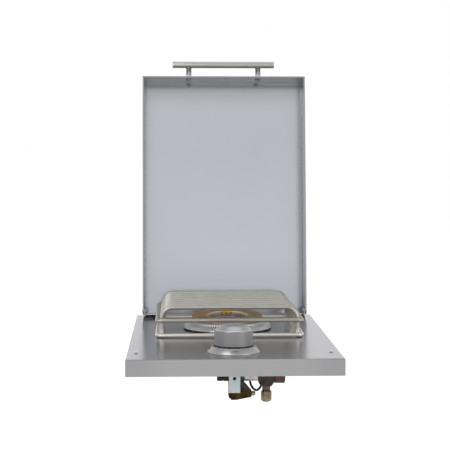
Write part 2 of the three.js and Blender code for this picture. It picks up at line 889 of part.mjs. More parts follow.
function between(start, end, shares) {
  return shares.map((share, i) => start[i] + share * (end[i] - start[i]));
}

function ignitionLead() {
  const from = [moduleX - moduleWidth / 2 - fitGap, moduleFromFront, underDeck - moduleHeight / 2];
  const to = [electrodeX, burnerFromFront + electrodeY, ceramicBottom - fitGap];
  const loop = [leadLoopX, knobFromFront + leadLoopBehind, leadLoopBottom];
  const hook = 4 * leadRadius;
  const near = [loop[0] + leadLoopHalf, loop[1] + leadRadius, loop[2] + hook];
  const far = [loop[0] - leadLoopHalf, near[1], near[2]];
  const run = [leadRunX, moduleFromFront, leadRunHeight - leadRadius];
  const route = [
    from,
    ...[[0.21, 0, 0], [0.4, 0.05, 0.04], [0.58, 0.3, 0.19], [0.71, 0.55, 0.38], [0.87, 0.86, 0.73]]
      .map((shares) => between(from, near, shares)),
    near,
    loop,
    far,
    ...[[0.5, 0.1, 0.33], [0.78, 0.4, 0.74]].map((shares) => between(far, run, shares)),
    run,
    ...[0.21, 0.53, 0.8].map((share) => [leadRunX, run[1] + share * (to[1] - run[1]), leadRunHeight]),
    [to[0] + hook, to[1] - 2.5 * hook, to[2] - 1.2 * hook],
    [to[0] + hook / 2, to[1] - hook / 2, to[2] - 1.5 * hook],
    [to[0], to[1], to[2] - 0.75 * hook],
    to,
  ];
  return cord(route, leadRadius, leadSteps);
}

// Knob and bezel

function domeHeight(radius) {
  const base = knobRadius - knobFillet;
  const rise = knobDomeHeight - knobRimHeight;
  return knobRimHeight + rise * (1 - (radius / base) ** 2);
}

function knobGeometry() {
  const shoulder = arc(knobRadius - knobFillet, knobRimHeight - knobFillet, knobFillet, knobFillet,
    0, Math.PI / 2, filletSteps);
  const domeRadius = knobRadius - knobFillet;
  const dome = Array.from({ length: domeSteps }, (_, i) => {
    const radius = domeRadius * (1 - (i + 1) / domeSteps);
    return [radius, domeHeight(radius)];
  });
  const roof = knobRimHeight - knobFillet;
  const hubBottom = knobBottom + knobWall;
  const body = turned([
    [0, hubBottom],
    [knobHubRadius, hubBottom],
    [knobHubRadius, roof],
    [knobRadius - knobWall, roof - knobWall],
    [knobRadius - knobWall, knobBottom],
    [knobRadius - knobWall / 4, knobBottom],
    [knobRadius, knobBottom + knobWall / 4],
    ...shoulder,
    ...dome,
  ]);
  const [start, stop] = [knobHubRadius / 2, domeRadius];
  const grooveBottom = Array.from({ length: grooveSteps + 1 }, (_, i) => {
    const radius = start + (stop - start) * i / grooveSteps;
    return [radius, domeHeight(radius) - pointerDepth];
  });
  const above = knobDomeHeight + overrun;
  const groove = endCut([...grooveBottom, [stop, above], [start, above]],
    -pointerWidth / 2, pointerWidth / 2);
  const bore = raised(flattedOutline(stemRadius + fitGap, stemFlat + fitGap),
    hubBottom - overrun, stemTop + fitGap);
  return cut(body, bore, groove);
}

function bezelGeometry() {
  const bottom = fitGap;
  const recess = knobRadius + knobGap;
  const floorBottom = bezelFloor - bezelWall;
  const rim = bezelWall / 4;
  const body = turned([
    [bezelRadius, bottom],
    [bezelRadius, bottom + bezelEdge],
    [bezelTopRadius + rim, bezelHeight - rim],
    [bezelTopRadius, bezelHeight],
    [recess, bezelHeight],
    [recess, bezelFloor],
    [stemHoleRadius, bezelFloor],
    [stemHoleRadius, floorBottom],
    [recess, floorBottom],
    [bezelTopRadius, floorBottom],
    [bezelRadius - bezelWall, bottom],
    [bezelRadius, bottom],
  ]);
  const posts = bezelScrewPlaces.map((place) =>
    rod('z', smallHeadRadius, bottom, floorBottom + bezelWall / 2, place));
  const holes = bezelScrewPlaces.map((place) =>
    rod('z', smallScrewRadius + fitGap, bottom - overrun, bezelFloor + overrun, place, smallSides));
  return cut(join(body, ...posts), ...holes);
}

function bezelScrew(side) {
  const seat = bezelFloor + fitGap;
  const place = [side * bezelScrewSpread / 2, 0];
  return screw(smallScrewRadius, smallHeadRadius, smallHeadHeight / 2, seat - bonnetBottom, place, seat);
}

// Gas valve: stem with its collar, spring, plug, bonnet and cast body

function valveStem() {
  const lowest = plugTop - pushTravel;
  return join(
    raised(flattedOutline(stemRadius, stemFlat), lowest, stemTop),
    rod('z', collarRadius, collarBottom, collarTop, [0, 0], roundSides),
  );
}

function returnSpring() {
  const steps = springSteps * springTurns;
  const [low, high] = [plugTop + fitGap + springWire / 2, collarBottom - fitGap - springWire / 2];
  const points = Array.from({ length: steps + 1 }, (_, i) => {
    const angle = 2 * Math.PI * springTurns * i / steps;
    return [springRadius * Math.cos(angle), springRadius * Math.sin(angle), low + (high - low) * i / steps];
  });
  return cord(points, springWire / 2, steps, springSides);
}

function valvePlug() {
  const radius = boreRadius - fitGap;
  const bottom = boreBottom + fitGap;
  const body = rod('z', radius, bottom, plugTop, [0, 0], roundSides);
  const socketFloor = plugTop - plugSocketDepth;
  const socket = raised(flattedOutline(stemRadius + fitGap, stemFlat + fitGap),
    socketFloor, plugTop + overrun);
  const centreBore = rod('z', portBoreRadius, bottom - overrun, socketFloor + plugSocketDepth / 2);
  return cut(body, socket, centreBore,
    rod('x', portBoreRadius, 0, valveRadius, [0, pipeHeight]),
    rod('y', portBoreRadius - fitGap, 0, valveRadius, [0, outletHeight - portBoreRadius]));
}

function valveBonnet() {
  const through = [bonnetBottom - overrun, bonnetTop + overrun];
  const plate = raised(slotOutline(bezelScrewSpread, bonnetWidth / 2), bonnetBottom, bonnetTop);
  return cut(plate,
    rod('z', stemRadius + fitGap, ...through, [0, 0], roundSides),
    ...bezelScrewPlaces.map((place) => rod('z', smallScrewRadius + fitGap, ...through, place, smallSides)));
}

function valveBody() {
  const armLeft = plateCentre - plateWidth / 2 - fitGap;
  const arm = [
    [armLeft, valveBottom + armBevel],
    [armLeft, armBottom + armCorner],
    [armLeft + armCorner, armBottom],
    [plateWidth / 4, armBottom],
    [armTipX, armTipHeight - nippleRadius - armBevel / 2],
    [armTipX, armTipHeight + nippleRadius + armBevel / 2],
    [valveRadius, valveBottom + armBevel],
  ];
  const boss = pipeRadius + fitGap;
  const reach = valveRadius + inletBossLength;
  return cut(
    join(
      rod('z', valveRadius, valveBottom, bodyTop, [0, 0], roundSides),
      rod('z', valveFlangeRadius, bodyTop - valveFlangeHeight, bodyTop, [0, 0], roundSides),
      rod('x', boss, -reach, reach, [0, pipeHeight], roundSides),
      sideCut(arm, armThickness, 0, armBevel),
    ),
    rod('z', boreRadius, boreBottom, bodyTop + overrun, [0, 0], roundSides),
    rod('x', portBoreRadius, 0, reach + overrun, [0, pipeHeight]),
    rod('y', portBoreRadius, 0, valveRadius + overrun, [0, outletHeight]),
    rod('x', nippleRadius / 3, armTipX - overrun, armTipX + overrun, [0, armTipHeight], smallSides),
  );
}

function testNipple() {
  const start = armTipX + fitGap;
  const end = start + nippleLength;
  const shoulder = end - nippleRadius / 2;
  return cut(
    join(
      rod('x', nippleRadius, start, shoulder, [0, armTipHeight]),
      rod('x', nippleRadius, shoulder, end, [0, armTipHeight], holeSides, nippleRadius * 2 / 3),
    ),
    rod('x', nippleRadius / 3, start - overrun, end + overrun, [0, armTipHeight], smallSides),
  );
}

function bracketPlate() {
  const left = plateCentre - plateWidth / 2;
  const through = [plateBack - overrun, plateBack + overrun];
  return cut(
    block([left, plateBack - plateSheet, plateBottom], [left + plateWidth, plateBack, plateTop]),
    rod('y', plateHoleRadius, ...through, [plateCentre, plateHoleHeight], roundSides),
    rod('y', smallScrewRadius + fitGap, ...through, [0, plateScrewHeight], smallSides),
  );
}

// Gas line: plug, pipe, tee, its plug, and the fitting with the flare nut that points down

function endPlug() {
  const start = -valveRadius - inletBossLength - fitGap;
  const face = start - endPlugLength;
  const profile = [
    [0, face],
    [pipeRadius - plugChamfer, face],
    [pipeRadius, face + plugChamfer],
    [pipeRadius, start],
    [0, start],
  ];
  return turned(profile, roundSides).rotateY(Math.PI / 2).translate(0, 0, pipeHeight);
}

function inletPipe() {
  const [start, end] = [valveRadius + inletBossLength + fitGap, teeX - teeHalfLength - fitGap];
  return cut(
    rod('x', pipeRadius, start, end, [0, pipeHeight], roundSides),
    rod('x', pipeRadius - pipeWall, start - overrun, end + overrun, [0, pipeHeight], roundSides),
  );
}

function teeFitting() {
  const [left, right] = [teeX - teeHalfLength, teeX + teeHalfLength];
  const bore = pipeRadius - pipeWall;
  return cut(
    join(
      rod('x', teeRadius, left, right, [0, pipeHeight], roundSides),
      rod('z', teeRadius, teeBottom + teeRadius / 3, pipeHeight, [teeX, 0], roundSides),
      rod('z', teeNeckRadius, teeBottom, teeBottom + teeRadius / 3, [teeX, 0], roundSides, teeRadius),
    ),
    rod('x', bore, left - overrun, teeX, [0, pipeHeight], roundSides),
    rod('z', fittingBoreRadius, teeBottom - overrun, pipeHeight, [teeX, 0]),
  );
}

function teePlug() {
  const start = teeX + teeHalfLength + fitGap;
  const face = start + teePlugLength;
  const profile = [
    [0, start],
    [teePlugRadius, start],
    [teePlugRadius, face - plugChamfer],
    [teePlugRadius - plugChamfer, face],
    [0, face],
  ];
  return turned(profile, roundSides).rotateY(Math.PI / 2).translate(0, 0, pipeHeight);
}

function flareFitting() {
  const top = teeBottom - fitGap;
  return cut(
    rod('z', fittingRadius, top - fittingLength, top, [teeX, 0], roundSides),
    rod('z', fittingBoreRadius, top - fittingLength - overrun, top + overrun, [teeX, 0]),
  );
}

function flareNut() {
  const top = teeBottom - 2 * fitGap - fittingLength;
  const bottom = top - nutLength;
  const body = rod('z', nutRadius, bottom, top, [teeX, 0], hexSides);
  const turnedEnds = turned([
    [0, bottom],
    [nutRadius - nutChamfer, bottom],
    [nutRadius, bottom + nutChamfer],
    [nutRadius, top - nutChamfer / 2],
    [nutRadius - nutChamfer / 2, top],
    [0, top],
  ], roundSides).translate(teeX, 0, 0);
  const shaped = geometryOf(solidOf(body).intersect(solidOf(turnedEnds)));
  return cut(shaped, rod('z', nutBoreRadius, bottom - overrun, top + overrun, [teeX, 0]));
}

// Orifice, air shutter and mixer tube, along y behind the valve

function orifice() {
  const start = valveRadius + fitGap;
  const shoulder = start + orificeLength;
  return cut(
    join(
      rod('y', orificeRadius, start, shoulder, [0, outletHeight], hexSides),
      rod('y', orificeTipRadius, shoulder - fitGap, shoulder + orificeTipLength, [0, outletHeight]),
    ),
    rod('y', orificeBoreRadius, start - overrun, shoulder + orificeTipLength + overrun, [0, outletHeight],
      smallSides),
  );
}

// The air slots of the shutter and of the bell's face, as cutting solids about the mixer's axis.
function airSlots(from, to, turn = 0) {
  return Array.from({ length: airSlotCount }, (_, i) => {
    const middle = 2 * Math.PI * i / airSlotCount + turn;
    const [start, end] = [middle - airSlotSpan / 2, middle + airSlotSpan / 2];
    const points = [
      ...arc(0, outletHeight, airSlotOuter, airSlotOuter, start, end, bendSteps),
      ...arc(0, outletHeight, airSlotInner, airSlotInner, end, start, bendSteps - 2),
    ];
    return sideCut(points, to - from, (from + to) / 2);
  });
}

function airShutter() {
  const [from, to] = [bellFront - shutterSheet - fitGap, bellFront - fitGap];
  return cut(
    rod('y', bellRadius, from, to, [0, outletHeight], roundSides),
    rod('y', shutterHubRadius, from - overrun, to + overrun, [0, outletHeight]),
    ...airSlots(from - overrun, to + overrun),
  );
}

function mixerTube() {
  const boss = burnerFromFront + ringMiddleRadius - knobFromFront;
  const straightEnd = boss - elbowRadius;
  const elbowTop = inletBossBottom - fitGap;
  const body = (radius, bell, front, lift) => {
    const shoulder = Math.max(front, bellFront + 2 * bellFace);
    const neck = bellFront + bellLength;
    const profile = [[0, front], [bell, front], [bell, shoulder], [radius, neck], [0, neck]];
    const horn = turned(profile, roundSides).rotateX(-Math.PI / 2).translate(0, 0, outletHeight);
    const bend = arc(straightEnd, outletHeight + elbowRadius, elbowRadius, elbowRadius, -Math.PI / 2, 0,
      bendSteps).map(([y, z]) => [0, y, z]);
    const points = [[0, neck - radius / 2, outletHeight], ...bend, [0, boss, elbowTop + lift]];
    return join(horn, wire(points, new THREE.Vector3(1, 0, 0), radius, false, tubeSides));
  };
  const face = [bellFront - overrun, bellFront + bellFace + overrun];
  return cut(body(mixerRadius, bellRadius, bellFront, 0),
    body(mixerRadius - mixerWall, bellRadius - mixerWall, bellFront + bellFace, overrun),
    rod('y', shutterHubRadius, ...face, [0, outletHeight]),
    ...airSlots(...face));
}

// Assembly

const burner = new THREE.Group();
burner.name = 'built_in_side_burner';

piece(burner, 'tray', trayGeometry(), 'brushedSteel');
piece(burner, 'rest_frame', restFrame(), 'brushedSteel');

const deck = placedGroup(burner, 0, trayFront, apronHeight);
for (const [name, side] of sides) {
  piece(deck, `lid_bumper_${name}`, lidBumper(side), 'clearRubber');
}
piece(deck, 'stop_strip', stopStrip(), 'blackRubber');
piece(deck, 'igniter_module', igniterModule(), 'blackPlastic');
piece(deck, 'ignition_lead', ignitionLead(), 'leadJacket');

const hinge = placedGroup(deck, 0, pivotFromFront, pivotHeight);
for (const [name, side] of sides) {
  piece(hinge, `hinge_bracket_${name}`, hingeBracket(side), 'brushedSteel');
  piece(hinge, `hinge_pin_${name}`, hingePin(side), 'screwSteel');
  piece(hinge, `hinge_washer_${name}`, hingeWasher(side), 'clearRubber');
  piece(hinge, `hinge_screw_${name}`, hingeScrew(side), 'screwSteel');
}

const lid = placedGroup(hinge, 0, 0, 0);
lid.rotation.x = -openAngle;
piece(lid, 'lid', lidGeometry(), 'brushedSteel');
piece(lid, 'handle_bar', handleBar(), 'satinSteel');
for (const [name, side] of sides) {
  piece(lid, `handle_post_${name}`, handlePost(side), 'satinSteel');
  piece(lid, `handle_screw_${name}`, handleScrew(side), 'screwSteel');
}

const head = placedGroup(deck, 0, burnerFromFront, 0);
piece(head, 'grate_lower_ring', ringWire(lowerRingHeight), 'wireSteel');
piece(head, 'grate_upper_ring', ringWire(upperRingHeight), 'wireSteel');
archPlaces().forEach((place, i) => {
  piece(head, `grate_bar_${i + 1}`, archWire(place), 'wireSteel');
});
piece(head, 'drip_pan', panGeometry(), 'panSteel');
piece(head, 'burner_base', burnerBase(), 'burnerBrass');
piece(head, 'burner_cap', burnerCap(), 'burnerBrass');
piece(head, 'burner_strap', burnerStrap(), 'brushedSteel');
for (const [name, side] of sides) {
  piece(head, `burner_screw_${name}`, burnerScrew(side), 'screwSteel');
}
piece(head, 'electrode_ceramic', electrodeCeramic(), 'ceramic');
piece(head, 'electrode_wire', electrodeWire(), 'screwSteel');
piece(head, 'electrode_clip', electrodeClip(), 'brushedSteel');

const valve = placedGroup(deck, 0, knobFromFront, 0);
piece(valve, 'knob', knobGeometry(), 'satinSteel');
piece(valve, 'bezel', bezelGeometry(), 'satinSteel');
for (const [name, side] of sides) {
  piece(valve, `bezel_screw_${name}`, bezelScrew(side), 'screwSteel');
}
piece(valve, 'valve_stem', valveStem(), 'valveBrass');
piece(valve, 'return_spring', returnSpring(), 'screwSteel');
piece(valve, 'valve_plug', valvePlug(), 'burnerBrass');
piece(valve, 'valve_bonnet', valveBonnet(), 'valveBrass');
piece(valve, 'valve_body', valveBody(), 'valveBrass');
piece(valve, 'test_nipple', testNipple(), 'zincPlate');
piece(valve, 'bracket_plate', bracketPlate(), 'zincPlate');
piece(valve, 'end_plug', endPlug(), 'valveBrass');
piece(valve, 'inlet_pipe', inletPipe(), 'pipeSteel');
piece(valve, 'tee_fitting', teeFitting(), 'darkBronze');
piece(valve, 'tee_plug', teePlug(), 'redBronze');
piece(valve, 'flare_fitting', flareFitting(), 'oliveBrass');
piece(valve, 'flare_nut', flareNut(), 'oliveBrass');
piece(valve, 'orifice', orifice(), 'burnerBrass');
piece(valve, 'air_shutter', airShutter(), 'brushedSteel');
piece(valve, 'mixer_tube', mixerTube(), 'pipeSteel');

export default burner;
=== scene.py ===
"""Looks of a built in side burner: finishes, formed wire, castings, gas fittings and the studio.

Every length is in metres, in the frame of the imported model: +X right, +Y away, +Z up, with the
origin where the tray's front flange rests on the counter.
"""

from __future__ import annotations

import logging
import math
from abc import ABC, abstractmethod
from collections.abc import Callable, Sequence
from dataclasses import dataclass
from enum import Enum

import bmesh
import bpy
from mathutils import Matrix, Vector

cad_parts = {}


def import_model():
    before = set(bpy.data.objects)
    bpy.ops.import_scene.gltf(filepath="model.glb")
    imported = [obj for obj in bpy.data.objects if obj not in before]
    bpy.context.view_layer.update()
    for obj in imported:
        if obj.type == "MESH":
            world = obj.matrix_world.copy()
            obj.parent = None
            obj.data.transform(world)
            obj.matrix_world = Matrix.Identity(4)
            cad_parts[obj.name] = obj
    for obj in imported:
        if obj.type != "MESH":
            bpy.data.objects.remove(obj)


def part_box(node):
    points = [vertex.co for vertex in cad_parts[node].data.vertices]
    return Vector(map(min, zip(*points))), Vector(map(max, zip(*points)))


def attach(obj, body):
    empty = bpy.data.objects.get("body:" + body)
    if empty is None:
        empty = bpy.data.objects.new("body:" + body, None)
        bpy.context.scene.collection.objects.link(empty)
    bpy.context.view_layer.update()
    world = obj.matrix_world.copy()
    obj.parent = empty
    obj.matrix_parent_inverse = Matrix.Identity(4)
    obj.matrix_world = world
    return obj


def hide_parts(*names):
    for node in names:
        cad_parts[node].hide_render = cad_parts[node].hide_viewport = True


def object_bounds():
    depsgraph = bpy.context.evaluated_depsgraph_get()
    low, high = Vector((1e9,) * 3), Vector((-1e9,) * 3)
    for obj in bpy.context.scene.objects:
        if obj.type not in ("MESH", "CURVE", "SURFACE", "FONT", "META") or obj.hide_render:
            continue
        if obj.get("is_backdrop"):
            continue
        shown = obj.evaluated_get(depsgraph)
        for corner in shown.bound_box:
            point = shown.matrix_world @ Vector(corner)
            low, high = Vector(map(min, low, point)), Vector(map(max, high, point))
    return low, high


log = logging.getLogger("side_burner")

Point2 = tuple[float, float]
Point3 = tuple[float, float, float]
Color = tuple[float, float, float]
Mesh = bpy.types.Mesh
Node = bpy.types.Node
Piece = bpy.types.Object
Shape = bmesh.types.BMesh
Socket = bpy.types.NodeSocket

MM = 0.001
FULL_TURN = 2 * math.pi
QUARTER = math.pi / 2
ORIGIN = (0.0, 0.0, 0.0)
DECK = 25.4 * MM  # height of the deck's upper face
SIDES = {"left": -1, "right": 1}
OVERCUT = 1 * MM  # how far a cutter stands out of what it cuts
TOUCH = 1e-7  # points nearer than this are one
SIDE_SHARE = 0.45  # the most that a fillet takes of a side
CRIMPS = 108  # folds round the drip pan's collar


class Axis(Enum):
    """The direction of a turned piece's axis, as the turn that takes +Z there."""

    X = ("Y", QUARTER)
    Y = ("X", -QUARTER)
    Z = ("Z", 0.0)

    def matrix(self) -> Matrix:
        """Returns the turn that takes +Z to this axis."""
        about, angle = self.value
        return Matrix.Rotation(angle, 4, about)


# Finishes


class Shading:
    """Adds and links nodes in one node tree."""

    def __init__(self, tree: bpy.types.NodeTree) -> None:
        """Starts with the tree emptied.

        Args:
            tree: The node tree to fill.
        """
        self.tree = tree
        tree.nodes.clear()

    def add(self, kind: str, settings: dict[str, object] | None = None, **inputs: object) -> Node:
        """Adds a node, sets its properties and fills or links its inputs.

        Args:
            kind: The node's type name.
            settings: Properties of the node.
            inputs: Values or output sockets by input name, with _ for a space.

        Returns:
            The new node.
        """
        node = self.tree.nodes.new(kind)
        for name, value in (settings or {}).items():
            setattr(node, name, value)
        for name, value in inputs.items():
            self.feed(node, name.replace("_", " "), value)
        return node

    def feed(self, node: Node, name: str, value: object) -> None:
        """Fills or links the first enabled input of a name.

        Args:
            node: The node whose input is set.
            name: The input's name.
            value: A value or an output socket.
        """
        self.put(next(s for s in node.inputs if s.name.lower() == name.lower() and s.enabled), value)

    def put(self, socket: Socket, value: object) -> None:
        """Fills or links one input.

        Args:
            socket: The input.
            value: A value or an output socket.
        """
        if isinstance(value, Socket):
            self.tree.links.new(value, socket)
        else:
            socket.default_value = value

    def math(self, operation: str, *values: object, kind: str = "ShaderNodeMath") -> Node:
        """Adds a math node.

        Args:
            operation: The operation's name.
            values: Values or sockets, in the order of its inputs.
            kind: The node's type name.

        Returns:
            The new node.
        """
        node = self.add(kind, {"operation": operation})
        for socket, value in zip(node.inputs, values):
            self.put(socket, value)
        return node

    def span(self, value: Socket, source: Point2, target: Point2 = (0.0, 1.0), **settings: object) -> Socket:
        """Returns a value carried from one range to another.

        Args:
            value: The value.
            source: Its own range.
            target: The range that it is carried to.
            settings: Properties of the node.
        """
        return self.add("ShaderNodeMapRange", settings, Value=value, From_Min=source[0], From_Max=source[1],
                        To_Min=target[0], To_Max=target[1]).outputs[0]

    def noise(self, place: Socket, scale: float, detail: float, roughness: float) -> Socket:
        """Returns the strength of a noise at a point.

        Args:
            place: The point.
            scale: Marks per metre.
            detail: Finer layers.
            roughness: The strength of the finer layers.
        """
        return self.add("ShaderNodeTexNoise", Vector=place, Scale=scale, Detail=detail,
                        Roughness=roughness).outputs["Fac"]

    def blend(self, share: Socket, first: object, second: Color) -> Socket:
        """Returns a mix of two colours.

        Args:
            share: The share of the second.
            first: The first colour or its socket.
            second: The second colour.
        """
        return self.add("ShaderNodeMix", {"data_type": "RGBA"}, Factor=share, A=first,
                        B=(*second, 1.0)).outputs["Result"]


@dataclass(frozen=True)
class Grain:
    """The fine texture of a surface."""

    frequency: Point3  # marks per metre along x, y and z
    depth: float  # how far the marks stand out
    spread: float  # how much they change the roughness


@dataclass(frozen=True)
class Tint:
    """A local tone that fades in between two distances from a point, an axis or a plane."""

    centre: Point3
    start: float  # the distance at which the tone starts
    end: float  # the distance at which it is strongest, nearer or farther
    color: Color
    share: float  # its share there
    mask: Point3 = (1.0, 1.0, 0.0)  # how much x, y and z count for the distance


@dataclass(frozen=True)
class Finish:
    """A surface: two tones that drift into each other, a grain, a gloss and local tints."""

    name: str
    color: Color  # the main tone
    shade: Color  # the second tone
    roughness: float
    metallic: float  # 1 for bare metal and 0 for the rest
    grain: Grain
    cloud: float = 18.0  # drifts of tone per metre
    mix: float = 0.5  # the share of the second tone at its strongest
    coat: float = 0.0  # the weight of a clear coat
    tints: tuple[Tint, ...] = ()
    edge: Color = (1.0, 1.0, 1.0)  # the tone of a metal seen at a flat angle

    def material(self) -> bpy.types.Material:
        """Returns the material, made on first use."""
        title = f"{self.name}_look"
        known = bpy.data.materials.get(title)
        if known is not None:
            return known
        made = bpy.data.materials.new(title)
        made.use_nodes = True
        made.diffuse_color = (*self.color, 1.0)
        self.fill(Shading(made.node_tree))
        return made

    def fill(self, sheet: Shading) -> None:
        """Builds the shader.

        Args:
            sheet: The material's emptied tree.
        """
        place = sheet.add("ShaderNodeTexCoord").outputs["Object"]
        drift = sheet.span(sheet.noise(place, self.cloud, 4.0, 0.55), (0.35, 0.65), (0.0, self.mix))
        color = self.tinted(sheet, place, sheet.blend(drift, (*self.color, 1.0), self.shade))
        scaled = sheet.add("ShaderNodeMapping", Vector=place, Scale=self.grain.frequency)
        marks = sheet.noise(scaled.outputs[0], 1.0, 3.0, 0.6)
        smoothest = max(self.roughness - self.grain.spread, 0.02)
        gloss = sheet.span(marks, (0.3, 0.7), (smoothest, self.roughness + self.grain.spread))
        bump = sheet.add("ShaderNodeBump", Height=marks, Distance=self.grain.depth, Strength=1.0)
        shader = sheet.add("ShaderNodeBsdfPrincipled", Base_Color=color, Roughness=gloss,
                           Metallic=self.metallic, Normal=bump.outputs[0], Coat_Weight=self.coat,
                           Specular_Tint=(*self.edge, 1.0))
        sheet.add("ShaderNodeOutputMaterial", Surface=shader.outputs[0])

    def tinted(self, sheet: Shading, place: Socket, color: Socket) -> Socket:
        """Returns the colour with the local tints on it.

        Args:
            sheet: The material's tree.
            place: The point.
            color: The colour without them.
        """
        vector = "ShaderNodeVectorMath"
        for tint in self.tints:
            flat = sheet.math("MULTIPLY", place, tint.mask, kind=vector).outputs["Vector"]
            centre = [c * m for c, m in zip(tint.centre, tint.mask)]
            away = sheet.math("DISTANCE", flat, centre, kind=vector).outputs["Value"]
            share = sheet.span(away, (tint.start, tint.end), (0.0, tint.share), interpolation_type="SMOOTHSTEP")
            color = sheet.blend(share, color, tint.color)
        return color


@dataclass(frozen=True)
class CrimpedFinish(Finish):
    """A finish with painted shade in the folds round an upright axis."""

    axis: Point3 = ORIGIN  # a point of the axis
    folds: int = CRIMPS
    band: Point2 = (70.5 * MM, 7 * MM)  # the distance at which the painted fold shade is darkest, and its reach
    valley: Point2 = (0.1, -0.7)  # the folds' cosine where their shade starts and where it is full
    # the colour of the painted shade in the folds' valleys
    fold_shade: Color = (0.05, 0.05, 0.05)

    def tinted(self, sheet: Shading, place: Socket, color: Socket) -> Socket:
        """Returns the colour with the tints and the painted fold shade on it.

        Args:
            sheet: The material's tree.
            place: The point.
            color: The colour without them.
        """
        def result(operation: str, *values: object) -> Socket:
            """Returns the result of a math node."""
            return sheet.math(operation, *values).outputs[0]

        color = super().tinted(sheet, place, color)
        moved = sheet.add("ShaderNodeMapping", Vector=place, Location=(-self.axis[0], -self.axis[1], 0.0))
        x, y, _ = sheet.add("ShaderNodeSeparateXYZ", Vector=moved.outputs[0]).outputs
        stripe = result("COSINE", result("MULTIPLY", result("ARCTAN2", y, x), float(self.folds)))
        radius = result("SQRT", result("ADD", result("MULTIPLY", x, x), result("MULTIPLY", y, y)))
        darkest, reach = self.band
        near = sheet.span(result("ABSOLUTE", result("SUBTRACT", radius, darkest)), (reach, 0.0))
        return sheet.blend(result("MULTIPLY", near, sheet.span(stripe, self.valley)), color, self.fold_shade)


BRUSHED_SIDEWAYS = Grain((14.0, 1900.0, 1900.0), 0.02 * MM, 0.04)
BRUSHED_ALONG = Grain((1900.0, 14.0, 1900.0), 0.02 * MM, 0.04)
DRAWN = Grain((1500.0, 1500.0, 1500.0), 0.008 * MM, 0.03)
TURNED = Grain((500.0, 500.0, 500.0), 0.03 * MM, 0.05)
CAST = Grain((900.0, 900.0, 900.0), 0.22 * MM, 0.12)
MOULDED = Grain((1400.0, 1400.0, 1400.0), 0.06 * MM, 0.06)

ACROSS = (1.0, 0.0, 0.0)
UPWARDS = (0.0, 0.0, 1.0)
ROUND_THE_ARM = (1.0, 0.0, 1.0)
BURNER_AXIS = (0.0, 316 * MM, 0.0)
KNOB_AXIS = (0.0, 62 * MM, 0.0)
RIGHT_LOBE = (62 * MM, 316 * MM, 0.0)
FAR_PORTS = (0.0, 351 * MM, 48 * MM)
TOP_WIRES = (0.0, 0.0, 52.5 * MM)

# Painted shade: darkens the lid's side flanges and hems, for the shade along its edges.
LID_SIDE_SHADE = Tint(ORIGIN, 144.5 * MM, 148 * MM, (0.29, 0.3, 0.31), 0.9, ACROSS)
# Painted shade: darkens the top band of the open lid, which faces down.
LID_TOP_SHADE = Tint(ORIGIN, 405 * MM, 455 * MM, (0.4, 0.41, 0.42), 0.85, UPWARDS)
# Painted shade: darkens the lid towards its lower end, near the deck.
LID_LOW_SHADE = Tint(ORIGIN, 150 * MM, 60 * MM, (0.48, 0.495, 0.53), 0.9, UPWARDS)
# Painted shade: darkens the thin band of the front skirt at the top of the open lid.
LID_FRONT_SHADE = Tint(ORIGIN, 461 * MM, 462.5 * MM, (0.33, 0.34, 0.34), 0.9, UPWARDS)
# Painted shade: darkens the deck and apron towards the tray's left and right ends.
TRAY_SIDE_SHADE = Tint(ORIGIN, 90 * MM, 155 * MM, (0.4, 0.4, 0.405), 0.85, ACROSS)
# Painted shade: pieces in this finish go near black within 29 mm of the origin's height. It stands for the shadow at
# the hinge brackets' feet under the lid, and darkens the strap, the electrode clip and the air shutter as well.
BRACKET_FOOT_SHADE = Tint(ORIGIN, 31 * MM, 29 * MM, (0.13, 0.13, 0.13), 0.95, UPWARDS)
# Painted light: lightens the grate's wire below about 34 mm, the lower ring and the arches' feet.
LOW_WIRE_LIGHT = Tint(ORIGIN, 42 * MM, 34 * MM, (0.77, 0.75, 0.7), 1.0, UPWARDS)
# Painted shade: darkens the wire within 4 mm of the upper ring's height, fading out by 7 mm.
HIGH_WIRE_SHADE = Tint(TOP_WIRES, 7 * MM, 4 * MM, (0.45, 0.43, 0.38), 1.0, UPWARDS)
# Heat tint and painted shade: a dark purple-grey over the pan's middle, inside the burner ring.
PAN_HEAT_TINT_AND_SHADE = Tint(BURNER_AXIS, 48 * MM, 22 * MM, (0.2, 0.18, 0.25), 0.9)
# Painted light: a bright amber on the lit far side of the ring's inner wall, round the far ports.
PORT_WALL_LIGHT = Tint(FAR_PORTS, 18 * MM, 7 * MM, (0.6, 0.35, 0.05), 0.95, (1.0, 1.0, 2.4))
# Painted highlight: a pale pinkish grey on the ring's inner wall and inner edge.
INNER_EDGE_HIGHLIGHT = Tint(BURNER_AXIS, 39 * MM, 34.2 * MM, (0.62, 0.57, 0.58), 0.9)
OLIVE_LOBE = Tint(RIGHT_LOBE, 62 * MM, 20 * MM, (0.42, 0.37, 0.2), 0.8)
# Painted light: a lighter grey over the knob's top, within 26.6 mm of its axis.
KNOB_TOP_LIGHT = Tint(KNOB_AXIS, 28.6 * MM, 26.6 * MM, (0.5, 0.5, 0.51), 1.0)
# Painted highlight: a near-white band on the knob's rounded upper edge.
KNOB_RIM_HIGHLIGHT = Tint(KNOB_AXIS, 25.6 * MM, 27.2 * MM, (0.9, 0.9, 0.91), 0.9)
# Painted shade: keeps the knob's side a plain dark grey, below the painted highlight on its rim.
KNOB_SIDE_SHADE = Tint(KNOB_AXIS, 28.1 * MM, 28.6 * MM, (0.28, 0.28, 0.28), 1.0)
GREY_ARM = Tint((21 * MM, 0.0, -19 * MM), 15 * MM, 9 * MM, (0.055, 0.06, 0.07), 0.9, ROUND_THE_ARM)
# Painted highlight: gold glints low on the valve's arm.
GOLD_ARM_GLINT = Tint((24 * MM, 0.0, -38 * MM), 11 * MM, 3 * MM, (0.12, 0.07, 0.02), 0.3, ROUND_THE_ARM)

